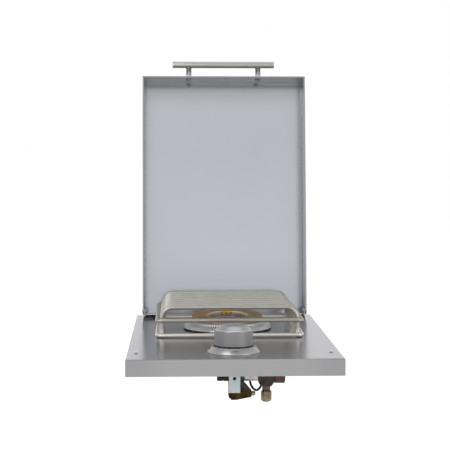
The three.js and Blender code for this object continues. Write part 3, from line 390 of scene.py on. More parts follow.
SHEET_STEEL = Finish("sheet_steel", (0.55, 0.565, 0.6), (0.51, 0.52, 0.555), 0.2, 1.0, BRUSHED_SIDEWAYS, 5.0,
                     tints=(LID_LOW_SHADE, LID_SIDE_SHADE, LID_TOP_SHADE, LID_FRONT_SHADE))
TRAY_STEEL = Finish("tray_steel", (0.46, 0.46, 0.46), (0.41, 0.41, 0.415), 0.22, 1.0, BRUSHED_SIDEWAYS, 5.0,
                    tints=(TRAY_SIDE_SHADE,))
HINGE_STEEL = Finish("hinge_steel", (0.52, 0.53, 0.55), (0.46, 0.47, 0.49), 0.3, 1.0, BRUSHED_ALONG,
                     tints=(BRACKET_FOOT_SHADE,))
WIRE_STEEL = Finish("wire_steel", (0.55, 0.535, 0.49), (0.43, 0.415, 0.37), 0.3, 1.0, DRAWN, 40.0,
                    tints=(LOW_WIRE_LIGHT, HIGH_WIRE_SHADE))
HANDLE_STEEL = Finish("handle_steel", (0.51, 0.51, 0.495), (0.45, 0.45, 0.435), 0.3, 1.0, BRUSHED_SIDEWAYS)
KNOB_SATIN = Finish("knob_satin", (0.29, 0.29, 0.29), (0.25, 0.25, 0.25), 0.36, 1.0, TURNED, 60.0,
                    tints=(KNOB_TOP_LIGHT, KNOB_RIM_HIGHLIGHT, KNOB_SIDE_SHADE))
BEZEL_SATIN = Finish("bezel_satin", (0.46, 0.46, 0.455), (0.4, 0.4, 0.4), 0.34, 1.0, TURNED, 60.0)
PAN_STEEL = CrimpedFinish("pan_steel", (0.8, 0.805, 0.815), (0.58, 0.585, 0.595), 0.2, 1.0, TURNED, 60.0,
                          tints=(PAN_HEAT_TINT_AND_SHADE,), axis=BURNER_AXIS)
BLACKENED_STEEL = Finish("blackened_steel", (0.1, 0.1, 0.1), (0.07, 0.07, 0.07), 0.45, 1.0, TURNED, 150.0)
SCREW_STEEL = Finish("screw_steel", (0.4, 0.4, 0.41), (0.28, 0.28, 0.29), 0.3, 1.0, TURNED, 200.0)
BURNER_BRASS = Finish("burner_brass", (0.62, 0.42, 0.22), (0.28, 0.21, 0.13), 0.4, 1.0, CAST, 55.0, 0.75,
                      tints=(OLIVE_LOBE, INNER_EDGE_HIGHLIGHT, PORT_WALL_LIGHT), edge=(0.95, 0.84, 0.7))
# Painted highlight: a bright, non-metallic yellow for the port rims, standing for the glints at the ports.
PORT_HIGHLIGHT = Finish("port_highlight", (1.0, 0.82, 0.26), (1.0, 0.72, 0.18), 0.35, 0.0, TURNED, 120.0)
VALVE_BRASS = Finish("valve_brass", (0.085, 0.054, 0.017), (0.006, 0.006, 0.006), 0.34, 1.0, CAST, 75.0, 1.0,
                     tints=(GREY_ARM, GOLD_ARM_GLINT))
PLUG_BRONZE = Finish("plug_bronze", (0.05, 0.04, 0.033), (0.025, 0.02, 0.017), 0.42, 1.0, CAST, 120.0, 0.8)
DARK_BRONZE = Finish("dark_bronze", (0.085, 0.064, 0.052), (0.032, 0.026, 0.022), 0.38, 1.0, CAST, 120.0, 0.8)
RED_BRONZE = Finish("red_bronze", (0.12, 0.072, 0.062), (0.045, 0.034, 0.031), 0.38, 1.0, CAST, 120.0, 0.8)
OLIVE_BRASS = Finish("olive_brass", (0.31, 0.26, 0.175), (0.125, 0.103, 0.07), 0.32, 1.0, TURNED, 140.0, 0.8)
PIPE_STEEL = Finish("pipe_steel", (0.62, 0.6, 0.58), (0.4, 0.37, 0.34), 0.32, 1.0, CAST, 130.0, 0.8)
NIPPLE_STEEL = Finish("nipple_steel", (0.34, 0.335, 0.3), (0.2, 0.195, 0.17), 0.3, 1.0, TURNED, 160.0)
ZINC_PLATE = Finish("zinc_plate", (0.56, 0.64, 0.645), (0.49, 0.57, 0.575), 0.42, 0.6, TURNED, 90.0)
BLACK_PLASTIC = Finish("black_plastic", (0.02, 0.02, 0.021), (0.03, 0.03, 0.031), 0.5, 0.0, MOULDED, 40.0)
BLACK_RUBBER = Finish("black_rubber", (0.016, 0.016, 0.016), (0.028, 0.028, 0.028), 0.6, 0.0, MOULDED, 80.0)
LEAD_JACKET = Finish("lead_jacket", (0.004, 0.004, 0.004), (0.01, 0.01, 0.01), 0.5, 0.0, MOULDED, 60.0)
CERAMIC = Finish("ceramic", (0.8, 0.78, 0.72), (0.62, 0.58, 0.5), 0.25, 0.0, MOULDED, 120.0, 0.6, 0.6)
CLEAR_RUBBER = Finish("clear_rubber", (0.76, 0.77, 0.79), (0.7, 0.71, 0.73), 0.6, 0.0, MOULDED, 90.0)
MARK_PAINT = Finish("mark_paint", (0.03, 0.03, 0.03), (0.045, 0.045, 0.045), 0.5, 0.0, MOULDED, 200.0)


# Profiles and paths


def arc(centre: Point2, radius: Point2, start: float, end: float, steps: int) -> list[Point2]:
    """Returns points of an arc in a plane, both ends included.

    Args:
        centre: The arc's centre.
        radius: The radii along both axes.
        start: The first angle in radians.
        end: The last angle in radians.
        steps: The number of spans.
    """
    angles = [start + (end - start) * i / steps for i in range(steps + 1)]
    return [(centre[0] + radius[0] * math.cos(a), centre[1] + radius[1] * math.sin(a)) for a in angles]


def off_axis(profile: Sequence[Point2]) -> bool:
    """Tells whether a profile starts off the axis, and so closes on itself, as a ring's does."""
    return profile[0][0] > 0.0


def rounded(profile: Sequence[Point2], radius: float, steps: int = 3) -> list[Point2]:
    """Rounds the corners of a profile.

    Args:
        profile: Corner points of radius and height.
        radius: The fillet's radius, cut down where a side is short.
        steps: Spans in each fillet.

    Returns:
        The profile with its fillets.
    """
    count = len(profile)
    smooth: list[Point2] = []
    for i, corner in enumerate(profile):
        if not off_axis(profile) and i in (0, count - 1):
            smooth.append(corner)
            continue
        here = Vector(corner)
        before = Vector(profile[i - 1]) - here
        after = Vector(profile[(i + 1) % count]) - here
        reach = min(radius, before.length * SIDE_SHARE, after.length * SIDE_SHARE)
        first = here + before.normalized() * reach
        last = here + after.normalized() * reach
        for step in range(steps + 1):
            share = step / steps
            along = first.lerp(here, share).lerp(here.lerp(last, share), share)
            smooth.append((along.x, along.y))
    return smooth


def rod(radius: float, low: float, high: float, edge: float, bore: float = 0.0) -> list[Point2]:
    """Returns the profile of a rod, or of a tube where it has a bore.

    Args:
        radius: Its outer radius.
        low: Where it starts.
        high: Where it ends.
        edge: The rounding of its edges.
        bore: Its inner radius.
    """
    return rounded([(bore, low), (radius, low), (radius, high), (bore, high)], edge)


def smooth_path(points: Sequence[Vector], spans: int) -> list[Vector]:
    """Returns a smooth route through points.

    Args:
        points: Points that the route passes through.
        spans: Spans between two of them.
    """
    ends = [points[0] * 2 - points[1], *points, points[-1] * 2 - points[-2]]
    route: list[Vector] = []
    for a, b, c, d in zip(ends, ends[1:], ends[2:], ends[3:]):
        for step in range(spans):
            t = step / spans
            route.append(0.5 * (2 * b + (c - a) * t + (2 * a - 5 * b + 4 * c - d) * t**2
                                + (3 * b - a - 3 * c + d) * t**3))
    return [*route, points[-1].copy()]


# Meshes


def clean(shape: Shape, mesh: Mesh) -> None:
    """Merges a shape's doubles, turns its faces outwards and writes it to a mesh.

    Args:
        shape: The shape, which is freed.
        mesh: The mesh that takes it.
    """
    bmesh.ops.remove_doubles(shape, verts=shape.verts, dist=TOUCH)
    bmesh.ops.recalc_face_normals(shape, faces=shape.faces)
    shape.to_mesh(mesh)
    shape.free()


def mesh_of(build: Callable[[Shape], None]) -> Mesh:
    """Returns a new mesh with its faces turned outwards.

    Args:
        build: Adds geometry to the shape that it is given.
    """
    shape = bmesh.new()
    build(shape)
    mesh = bpy.data.meshes.new("form")
    clean(shape, mesh)
    return mesh


def revolve(
    profile: Sequence[Point2], sides: int, axis: Axis = Axis.Z, centre: Point3 = ORIGIN,
    wave: Callable[[float, float, float], float] | None = None,
) -> Mesh:
    """Returns a turned form.

    Args:
        profile: Points of radius and height.
        sides: Faces round the axis.
        axis: The direction of the axis.
        centre: Where height 0 of the axis lies.
        wave: Gives a lift along the axis for a radius, a height and an angle.
    """
    place = Matrix.Translation(centre) @ axis.matrix()

    def fill(shape: Shape) -> None:
        """Adds a ring for each point and the faces between them."""
        rings: list[list[bmesh.types.BMVert]] = []
        for radius, height in profile:
            ring: list[bmesh.types.BMVert] = []
            for i in range(1 if radius < TOUCH else sides):
                angle = FULL_TURN * i / sides
                lift = wave(radius, height, angle) if wave else 0.0
                point = Vector((radius * math.cos(angle), radius * math.sin(angle), height + lift))
                ring.append(shape.verts.new(place @ point))
            rings.append(ring)
        spans = list(zip(rings, rings[1:]))
        if off_axis(profile):
            spans.append((rings[-1], rings[0]))
        for low, high in spans:
            for i in range(sides):
                face = [low[i % len(low)], low[(i + 1) % len(low)], high[(i + 1) % len(high)], high[i % len(high)]]
                distinct = list(dict.fromkeys(face))
                if len(distinct) > 2:
                    shape.faces.new(distinct)

    return mesh_of(fill)


def cylinder(radius: float, start: float, end: float, sides: int, axis: Axis, centre: Point3) -> Mesh:
    """Returns a plain closed cylinder, as a cutter or a boss.

    Args:
        radius: Its radius.
        start: Where it starts on its axis.
        end: Where it ends.
        sides: Faces round it.
        axis: The direction of the axis.
        centre: Where 0 of the axis lies.
    """
    return revolve([(0.0, start), (radius, start), (radius, end), (0.0, end)], sides, axis, centre)


def loft(shape: Shape, rings: Sequence[Sequence[bmesh.types.BMVert]]) -> None:
    """Joins rings of points to a closed bar.

    Args:
        shape: The shape that takes it.
        rings: Its sections, from end to end.
    """
    for near, far in zip(rings, rings[1:]):
        for i in range(len(near)):
            after = (i + 1) % len(near)
            shape.faces.new([near[i], near[after], far[after], far[i]])
    shape.faces.new(rings[0])
    shape.faces.new(rings[-1])


def sweep(path: Sequence[Vector], radius: float | Sequence[float], sides: int) -> Mesh:
    """Returns a closed round bar along a path, turned as little as possible from point to point.

    Args:
        path: The centre line's points.
        radius: The bar's radius, or one for each point.
        sides: Faces round the bar.
    """
    radii = [radius] * len(path) if isinstance(radius, float) else list(radius)
    along = [(path[min(i + 1, len(path) - 1)] - path[max(i - 1, 0)]).normalized() for i in range(len(path))]
    turns = [FULL_TURN * i / sides for i in range(sides)]

    def fill(shape: Shape) -> None:
        """Adds a ring round each point and the faces between them."""
        across = along[0].orthogonal().normalized()
        rings: list[list[bmesh.types.BMVert]] = []
        for point, direction, reach in zip(path, along, radii):
            across = (across - direction * across.dot(direction)).normalized()
            other = direction.cross(across)
            rings.append([shape.verts.new(point + (across * math.cos(a) + other * math.sin(a)) * reach)
                          for a in turns])
        loft(shape, rings)

    return mesh_of(fill)


def block(low: Vector, high: Vector) -> Mesh:
    """Returns a box between two corners."""
    size = high - low
    place = Matrix.Translation((low + high) / 2) @ Matrix.Diagonal((size.x, size.y, size.z, 1.0))
    return mesh_of(lambda shape: bmesh.ops.create_cube(shape, size=1.0, matrix=place))


# Pieces


def sharpen(mesh: Mesh, angle: float = 35.0) -> None:
    """Keeps the edges sharp that turn by an angle in degrees or more."""
    mesh.set_sharp_from_angle(angle=math.radians(angle))


def finish_mesh(name: str, mesh: Mesh, finish: Finish, sharp: float = 35.0) -> Piece:
    """Makes an object of a mesh, with smooth faces between sharp edges.

    Args:
        name: The piece's name.
        mesh: Its mesh, in the frame.
        finish: Its finish.
        sharp: The angle in degrees from which an edge stays sharp.

    Returns:
        The new object.
    """
    mesh.name = name
    mesh.shade_smooth()
    sharpen(mesh, sharp)
    mesh.materials.clear()
    mesh.materials.append(finish.material())
    made = bpy.data.objects.new(name, mesh)
    bpy.context.scene.collection.objects.link(made)
    return made


def turned_piece(
    name: str, profile: Sequence[Point2], finish: Finish, sides: int, axis: Axis = Axis.Z, centre: Point3 = ORIGIN
) -> Piece:
    """Makes a piece that is one turned form.

    Args:
        name: The piece's name.
        profile: Points of radius and height.
        finish: Its finish.
        sides: Faces round the axis.
        axis: The direction of the axis.
        centre: Where height 0 of the axis lies.

    Returns:
        The new object.
    """
    return finish_mesh(name, revolve(profile, sides, axis, centre), finish)


def evaluated(target: Piece) -> Mesh:
    """Returns an object's mesh with its modifiers applied."""
    graph = bpy.context.evaluated_depsgraph_get()
    return bpy.data.meshes.new_from_object(target.evaluated_get(graph), depsgraph=graph)


def bake(target: Piece) -> None:
    """Applies and removes an object's modifiers."""
    mesh = evaluated(target)
    target.modifiers.clear()
    target.data = mesh


def carve(target: Piece, cutter: Mesh, operation: str = "DIFFERENCE") -> None:
    """Cuts a mesh from a piece, joins it on or keeps what both share.

    Args:
        target: The piece that changes.
        cutter: A closed mesh.
        operation: DIFFERENCE, UNION or INTERSECT.
    """
    tool = bpy.data.objects.new("cutter", cutter)
    bpy.context.scene.collection.objects.link(tool)
    change = target.modifiers.new("carve", "BOOLEAN")
    change.operation = operation
    change.solver = "EXACT"
    change.object = tool
    bake(target)
    bpy.data.objects.remove(tool)


def soften(target: Piece, radius: float) -> None:
    """Rounds the edges of a piece by a radius."""
    edge = target.modifiers.new("edge", "BEVEL")
    edge.width = radius
    edge.segments = 3
    bake(target)
    target.data.shade_smooth()


def softened_copy(name: str, node: str, voxel: float, passes: int, finish: Finish) -> Piece:
    """Makes a casting of a node: its form with rounded edges.

    Args:
        name: The piece's name.
        node: The node that it stands for.
        voxel: The size of the new mesh's faces.
        passes: How often the mesh is smoothed.
        finish: Its finish.

    Returns:
        The new object.
    """
    shape = bmesh.new()
    shape.from_mesh(bpy.data.objects[node].data)
    bmesh.ops.remove_doubles(shape, verts=shape.verts, dist=1e-6)
    mesh = bpy.data.meshes.new(name)
    shape.to_mesh(mesh)
    shape.free()
    made = finish_mesh(name, mesh, finish, 180.0)
    skin = made.modifiers.new("skin", "REMESH")
    skin.mode = "VOXEL"
    skin.voxel_size = voxel
    soft = made.modifiers.new("soft", "SMOOTH")
    soft.iterations = passes
    soft.factor = 0.5
    bake(made)
    made.data.shade_smooth()
    made.data.materials.clear()
    made.data.materials.append(finish.material())
    return made


def corners(node: str) -> tuple[Vector, Vector]:
    """Returns a node's lowest and highest corners."""
    low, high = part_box(node)
    return Vector(low), Vector(high)


def middle(node: str) -> Vector:
    """Returns the middle of a node's box."""
    low, high = corners(node)
    return (low + high) / 2


def settle(piece: Piece, body: str, slot: str, *nodes: str) -> Piece:
    """Puts a finished piece on its body and hides the nodes that it replaces.

    Args:
        piece: The finished piece.
        body: The body that it moves with.
        slot: The record's material slot; not used.
        nodes: The nodes that it replaces, if any.

    Returns:
        The piece.
    """
    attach(piece, body)
    if nodes:
        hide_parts(*nodes)
    log.info("%s: %d faces on %s", piece.name, len(piece.data.polygons), body)
    return piece


def paint(finish: Finish, *nodes: str) -> None:
    """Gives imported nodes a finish.

    Args:
        finish: The finish.
        nodes: The nodes' names.
    """
    for node in nodes:
        for place in bpy.data.objects[node].material_slots:
            place.material = finish.material()
        log.info("%s: %s", node, finish.name)


def cross_screw(name: str, place: Matrix, head: Point2, shank: Point2, finish: Finish = SCREW_STEEL) -> Piece:
    """Makes a pan-head screw with a cross recess.

    Args:
        name: The piece's name.
        place: Takes +Z to the way its head points and the origin to its seat.
        head: Radius and height of the head.
        shank: Radius and length of the shank.
        finish: Its finish.

    Returns:
        The new object.
    """
    radius, height = head
    thickness, reach = shank
    edge = height * 0.3
    dome = arc((0.0, edge), (radius, height - edge), 0.0, QUARTER, 10)[:-1]
    tip = min(thickness / 2, reach / 4)
    profile = [(0.0, -reach), (thickness - tip, -reach), (thickness, tip - reach), (thickness, 0.0), (radius, 0.0),
               *dome, (0.0, height)]
    screw = turned_piece(name, profile, finish, 40)
    arm, half, floor = radius * 0.52, radius * 0.12, height * 0.35
    for x, y in ((arm, half), (half, arm)):
        carve(screw, block(Vector((-x, -y, floor)), Vector((x, y, height * 2))))
    sharpen(screw.data)
    screw.data.transform(place)
    return screw


def upright_screw(
    node: str, head: Point2, shank: float, reach: float = 0.0, finish: Finish = SCREW_STEEL, hangs: bool = False
) -> None:
    """Makes an upright screw in a node's place on the burner.

    Args:
        node: The node.
        head: Radius and height of the head.
        shank: Radius of the shank.
        reach: Its length, or 0 for one that ends where the node does.
        finish: The screw's finish.
        hangs: Whether its head points down.
    """
    low, high = corners(node)
    seat = low.z + head[1] if hangs else high.z - head[1]
    length = reach or (high.z - seat if hangs else seat - low.z)
    place = Matrix.Translation(((low.x + high.x) / 2, (low.y + high.y) / 2, seat))
    turned = place @ Matrix.Rotation(math.pi if hangs else 0.0, 4, "X")
    settle(cross_screw(f"{node}_cross", turned, head, (shank, length), finish), "burner", "screw_steel", node)


class Row:
    """A Geometry Nodes tree that is filled step by step and then turned into a plain mesh."""

    def __init__(self, name: str, finish: Finish) -> None:
        """Starts an empty tree.

        Args:
            name: The piece's name.
            finish: The finish that its last node sets.
        """
        self.name = name
        self.finish = finish
        self.tree = bpy.data.node_groups.new(name, "GeometryNodeTree")
        self.sheet = Shading(self.tree)
        self.sizes: dict[str, object] = {}
        self.tree.interface.new_socket("Geometry", in_out="OUTPUT", socket_type="NodeSocketGeometry")
        self.entry = self.sheet.add("NodeGroupInput")

    def size(self, name: str, value: float | int) -> Socket:
        """Adds a named input.

        Args:
            name: The input's name.
            value: Its value.

        Returns:
            The socket that gives it inside the tree.
        """
        kind = "NodeSocketInt" if isinstance(value, int) else "NodeSocketFloat"
        socket = self.tree.interface.new_socket(name, in_out="INPUT", socket_type=kind)
        self.sizes[socket.identifier] = value
        return next(s for s in self.entry.outputs if s.identifier == socket.identifier)

    def add(self, kind: str, settings: dict[str, object] | None = None, **inputs: object) -> Socket:
        """Adds a geometry node and returns its first output.

        Args:
            kind: The end of the node's type name, after GeometryNode.
            settings: Properties of the node.
            inputs: Values or output sockets by input name, with _ for a space.
        """
        return self.sheet.add(f"GeometryNode{kind}", settings, **inputs).outputs[0]

    def vector(self, x: object = 0.0, y: object = 0.0, z: object = 0.0) -> Socket:
        """Returns a vector made of values or sockets."""
        return self.sheet.add("ShaderNodeCombineXYZ", X=x, Y=y, Z=z).outputs[0]

    def bar(self, line: Socket, radius: object, sides: object) -> Socket:
        """Returns a round bar along a curve.

        Args:
            line: The curve.
            radius: The bar's radius.
            sides: Faces round the bar.
        """
        section = self.add("CurvePrimitiveCircle", Resolution=sides, Radius=radius)
        return self.add("CurveToMesh", Curve=line, Profile_Curve=section, Fill_Caps=True)

    def fillet(self, line: Socket, radius: Socket, spans: int) -> Socket:
        """Returns a curve with its corners rounded by straight spans.

        Args:
            line: The curve.
            radius: The corners' radius.
            spans: Spans in each corner.
        """
        node = self.sheet.add("GeometryNodeFilletCurve", Curve=line, Radius=radius)
        if "Mode" in [socket.name for socket in node.inputs]:
            self.sheet.feed(node, "Mode", "Poly")
        else:
            node.mode = "POLY"
        self.sheet.feed(node, "Count", spans)
        return node.outputs[0]

    def copies(self, points: Socket, shape: Socket, **turns: object) -> Socket:
        """Returns a copy of a shape on each point.

        Args:
            points: Points or vertices.
            shape: The geometry to repeat.
            turns: A Rotation or Scale input.
        """
        return self.add("InstanceOnPoints", Points=points, Instance=shape, **turns)

    def outward(self) -> Socket:
        """Returns the turn that points +Z away from the z axis at each point."""
        place = self.add("InputPosition")
        return self.sheet.add("FunctionNodeAlignRotationToVector", {"axis": "Z"}, Vector=place).outputs[0]

    def join(self, *parts: Socket) -> Socket:
        """Returns several geometries as one."""
        joined = self.sheet.add("GeometryNodeJoinGeometry")
        for part in parts:
            self.tree.links.new(part, joined.inputs[0])
        return joined.outputs[0]

    def object(self, shape: Socket, host: Piece | None = None) -> Piece:
        """Ends the tree, runs it and returns the piece as a plain mesh.

        Args:
            shape: The tree's last geometry.
            host: An object whose own curve the tree reads, if any.

        Returns:
            The finished piece.
        """
        whole = self.add("RealizeInstances", Geometry=shape)
        dressed = self.add("SetMaterial", Geometry=whole, Material=self.finish.material())
        self.sheet.add("NodeGroupOutput", Geometry=dressed)
        carrier = host or bpy.data.objects.new(self.name, bpy.data.meshes.new(self.name))
        bpy.context.scene.collection.objects.link(carrier)
        run = carrier.modifiers.new("rows", "NODES")
        run.node_group = self.tree
        for identifier, value in self.sizes.items():
            run[identifier] = value
        mesh = evaluated(carrier)
        bpy.data.objects.remove(carrier)
        rows = bmesh.new()
        rows.from_mesh(mesh)
        clean(rows, mesh)
        return finish_mesh(self.name, mesh, self.finish)


# Studio


@dataclass
class Studio:
    """Camera, light and surroundings of the photograph."""

    eye: Point3 = (-0.08019, -1.79163, 0.32527)  # where the camera stands
    yaw: float = 0.0362  # how far it looks to the right, in radians
    pitch: float = 0.0581  # how far it looks down, in radians
    lens: float = 98.75  # its focal length in millimetres
    sensor: float = 36.0  # its sensor's width in millimetres
    floor_height: float = -0.3  # well below the hanging burner
    floor_size: float = 16.0
    floor_glow: float = 0.6  # the floor's own light to the camera
    floor_gleam: float = 0.26  # the floor's own light in reflections
    lamp_aim: Point3 = (0.0, 0.25, 0.15)

    def build(self) -> None:
        """Sets up the camera, the world, the lamps and the floor."""
        self.camera()
        self.world()
        for name, place, size, power in (
            ("key_lamp", (-1.1, -1.3, 1.5), 1.4, 11.0),
            ("fill_lamp", (1.5, -1.1, 0.8), 1.6, 5.0),
            ("top_lamp", (0.1, 0.4, 1.9), 1.6, 4.5),
        ):
            self.lamp(name, place, size, power)
        self.floor()
        bpy.context.scene.view_settings.view_transform = "Standard"

    def camera(self) -> None:
        """Makes the scene's camera."""
        data = bpy.data.cameras.new("camera")
        data.lens = self.lens
        data.sensor_width = self.sensor
        made = bpy.data.objects.new("camera", data)
        made.location = self.eye
        made.rotation_euler = (QUARTER - self.pitch, 0.0, -self.yaw)
        bpy.context.scene.collection.objects.link(made)
        bpy.context.scene.camera = made

    def world(self) -> None:
        """Makes a white tent that is a little darker overhead and below."""
        world = bpy.data.worlds.new("tent")
        world.use_nodes = True
        bpy.context.scene.world = world
        sheet = Shading(world.node_tree)
        place = sheet.add("ShaderNodeTexCoord").outputs["Generated"]
        height = sheet.add("ShaderNodeSeparateXYZ", Vector=place).outputs["Z"]
        ramp = sheet.add("ShaderNodeValToRGB", Fac=sheet.span(height, (-1.0, 1.0)))
        tones = [(0.0, 0.35), (0.45, 0.85), (0.53, 1.0), (0.68, 0.8), (1.0, 0.35)]
        steps = ramp.color_ramp.elements
        while len(steps) < len(tones):
            steps.new(0.5)
        for step, (position, value) in zip(steps, tones):
            step.position = position
            step.color = (value, value, value * 1.02, 1.0)
        seen = sheet.add("ShaderNodeLightPath").outputs["Is Camera Ray"]
        tent = sheet.add("ShaderNodeBackground", Color=ramp.outputs[0], Strength=1.0)
        white = sheet.add("ShaderNodeBackground", Color=(1.0, 1.0, 1.0, 1.0), Strength=1.0)
        shown = sheet.add("ShaderNodeMixShader", Fac=seen)
        sheet.put(shown.inputs[1], tent.outputs[0])
        sheet.put(shown.inputs[2], white.outputs[0])
        sheet.add("ShaderNodeOutputWorld", Surface=shown.outputs[0])

    def lamp(self, name: str, place: Point3, size: float, power: float) -> None:
        """Hangs a large soft lamp that shines on the burner.

        Args:
            name: The lamp's name.
            place: Where it hangs.
            size: Its width.
            power: Its power in watts.
        """
        data = bpy.data.lights.new(name, "AREA")
        data.shape = "DISK"
        data.size = size
        data.energy = power
        lamp = bpy.data.objects.new(name, data)
        lamp.location = place
        lamp.rotation_euler = (Vector(self.lamp_aim) - Vector(place)).to_track_quat("-Z", "Y").to_euler()
        bpy.context.scene.collection.objects.link(lamp)

    def floor(self) -> None:
        """Lays a pale floor that shows white to the camera and keeps shadows."""
        half = self.floor_size / 2
        mesh = bpy.data.meshes.new("floor")
        outline = [(-half, -half), (half, -half), (half, half), (-half, half)]
        mesh.from_pydata([(x, y, self.floor_height) for x, y in outline], [], [(0, 1, 2, 3)])
        floor = bpy.data.objects.new("floor", mesh)
        bpy.context.scene.collection.objects.link(floor)
        coat = bpy.data.materials.new("floor_paint")
        coat.use_nodes = True
        sheet = Shading(coat.node_tree)
        seen = sheet.add("ShaderNodeLightPath").outputs["Is Camera Ray"]
        glow = sheet.span(seen, (0.0, 1.0), (self.floor_gleam, self.floor_glow))
        matt = sheet.add("ShaderNodeBsdfDiffuse", Color=(0.75, 0.75, 0.75, 1.0))
        light = sheet.add("ShaderNodeEmission", Color=(1.0, 1.0, 1.0, 1.0), Strength=glow)
        both = sheet.add("ShaderNodeAddShader")
        sheet.put(both.inputs[0], matt.outputs[0])
        sheet.put(both.inputs[1], light.outputs[0])
        sheet.add("ShaderNodeOutputMaterial", Surface=both.outputs[0])
        mesh.materials.append(coat)
        floor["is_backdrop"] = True


# Sub-assemblies


class SubAssembly(ABC):
    """A group of pieces that is built and dressed on its own."""

    @abstractmethod
    def build(self) -> None:
        """Makes the group's own pieces."""

    def dress(self) -> None:
        """Gives the group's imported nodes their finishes, where it has any."""


@dataclass
class Tray(SubAssembly):
    """The tray, its rest frame, the strap below it and the rubber that the lid meets."""

    bumper_edge: float = 1.1 * MM
    bumper_sides: int = 32

    def build(self) -> None:
        """Makes the lid bumpers."""
        for side in SIDES:
            node = f"lid_bumper_{side}"
            low, high = corners(node)
            profile = rod((high.x - low.x) / 2, 0.0, high.z - low.z, self.bumper_edge)
            foot = ((low.x + high.x) / 2, (low.y + high.y) / 2, low.z)
            bumper = turned_piece(f"{node}_moulding", profile, CLEAR_RUBBER, self.bumper_sides, Axis.Z, foot)
            settle(bumper, "burner", "clear_rubber", node)

    def dress(self) -> None:
        """Dresses the sheet parts and the strip."""
        paint(TRAY_STEEL, "tray", "rest_frame")
        paint(HINGE_STEEL, "burner_strap", "electrode_clip")
        # The stop strip is black rubber; its black also stands in for painted shade in the gap under the lid's rear
        # edge.
        paint(BLACK_RUBBER, "stop_strip")


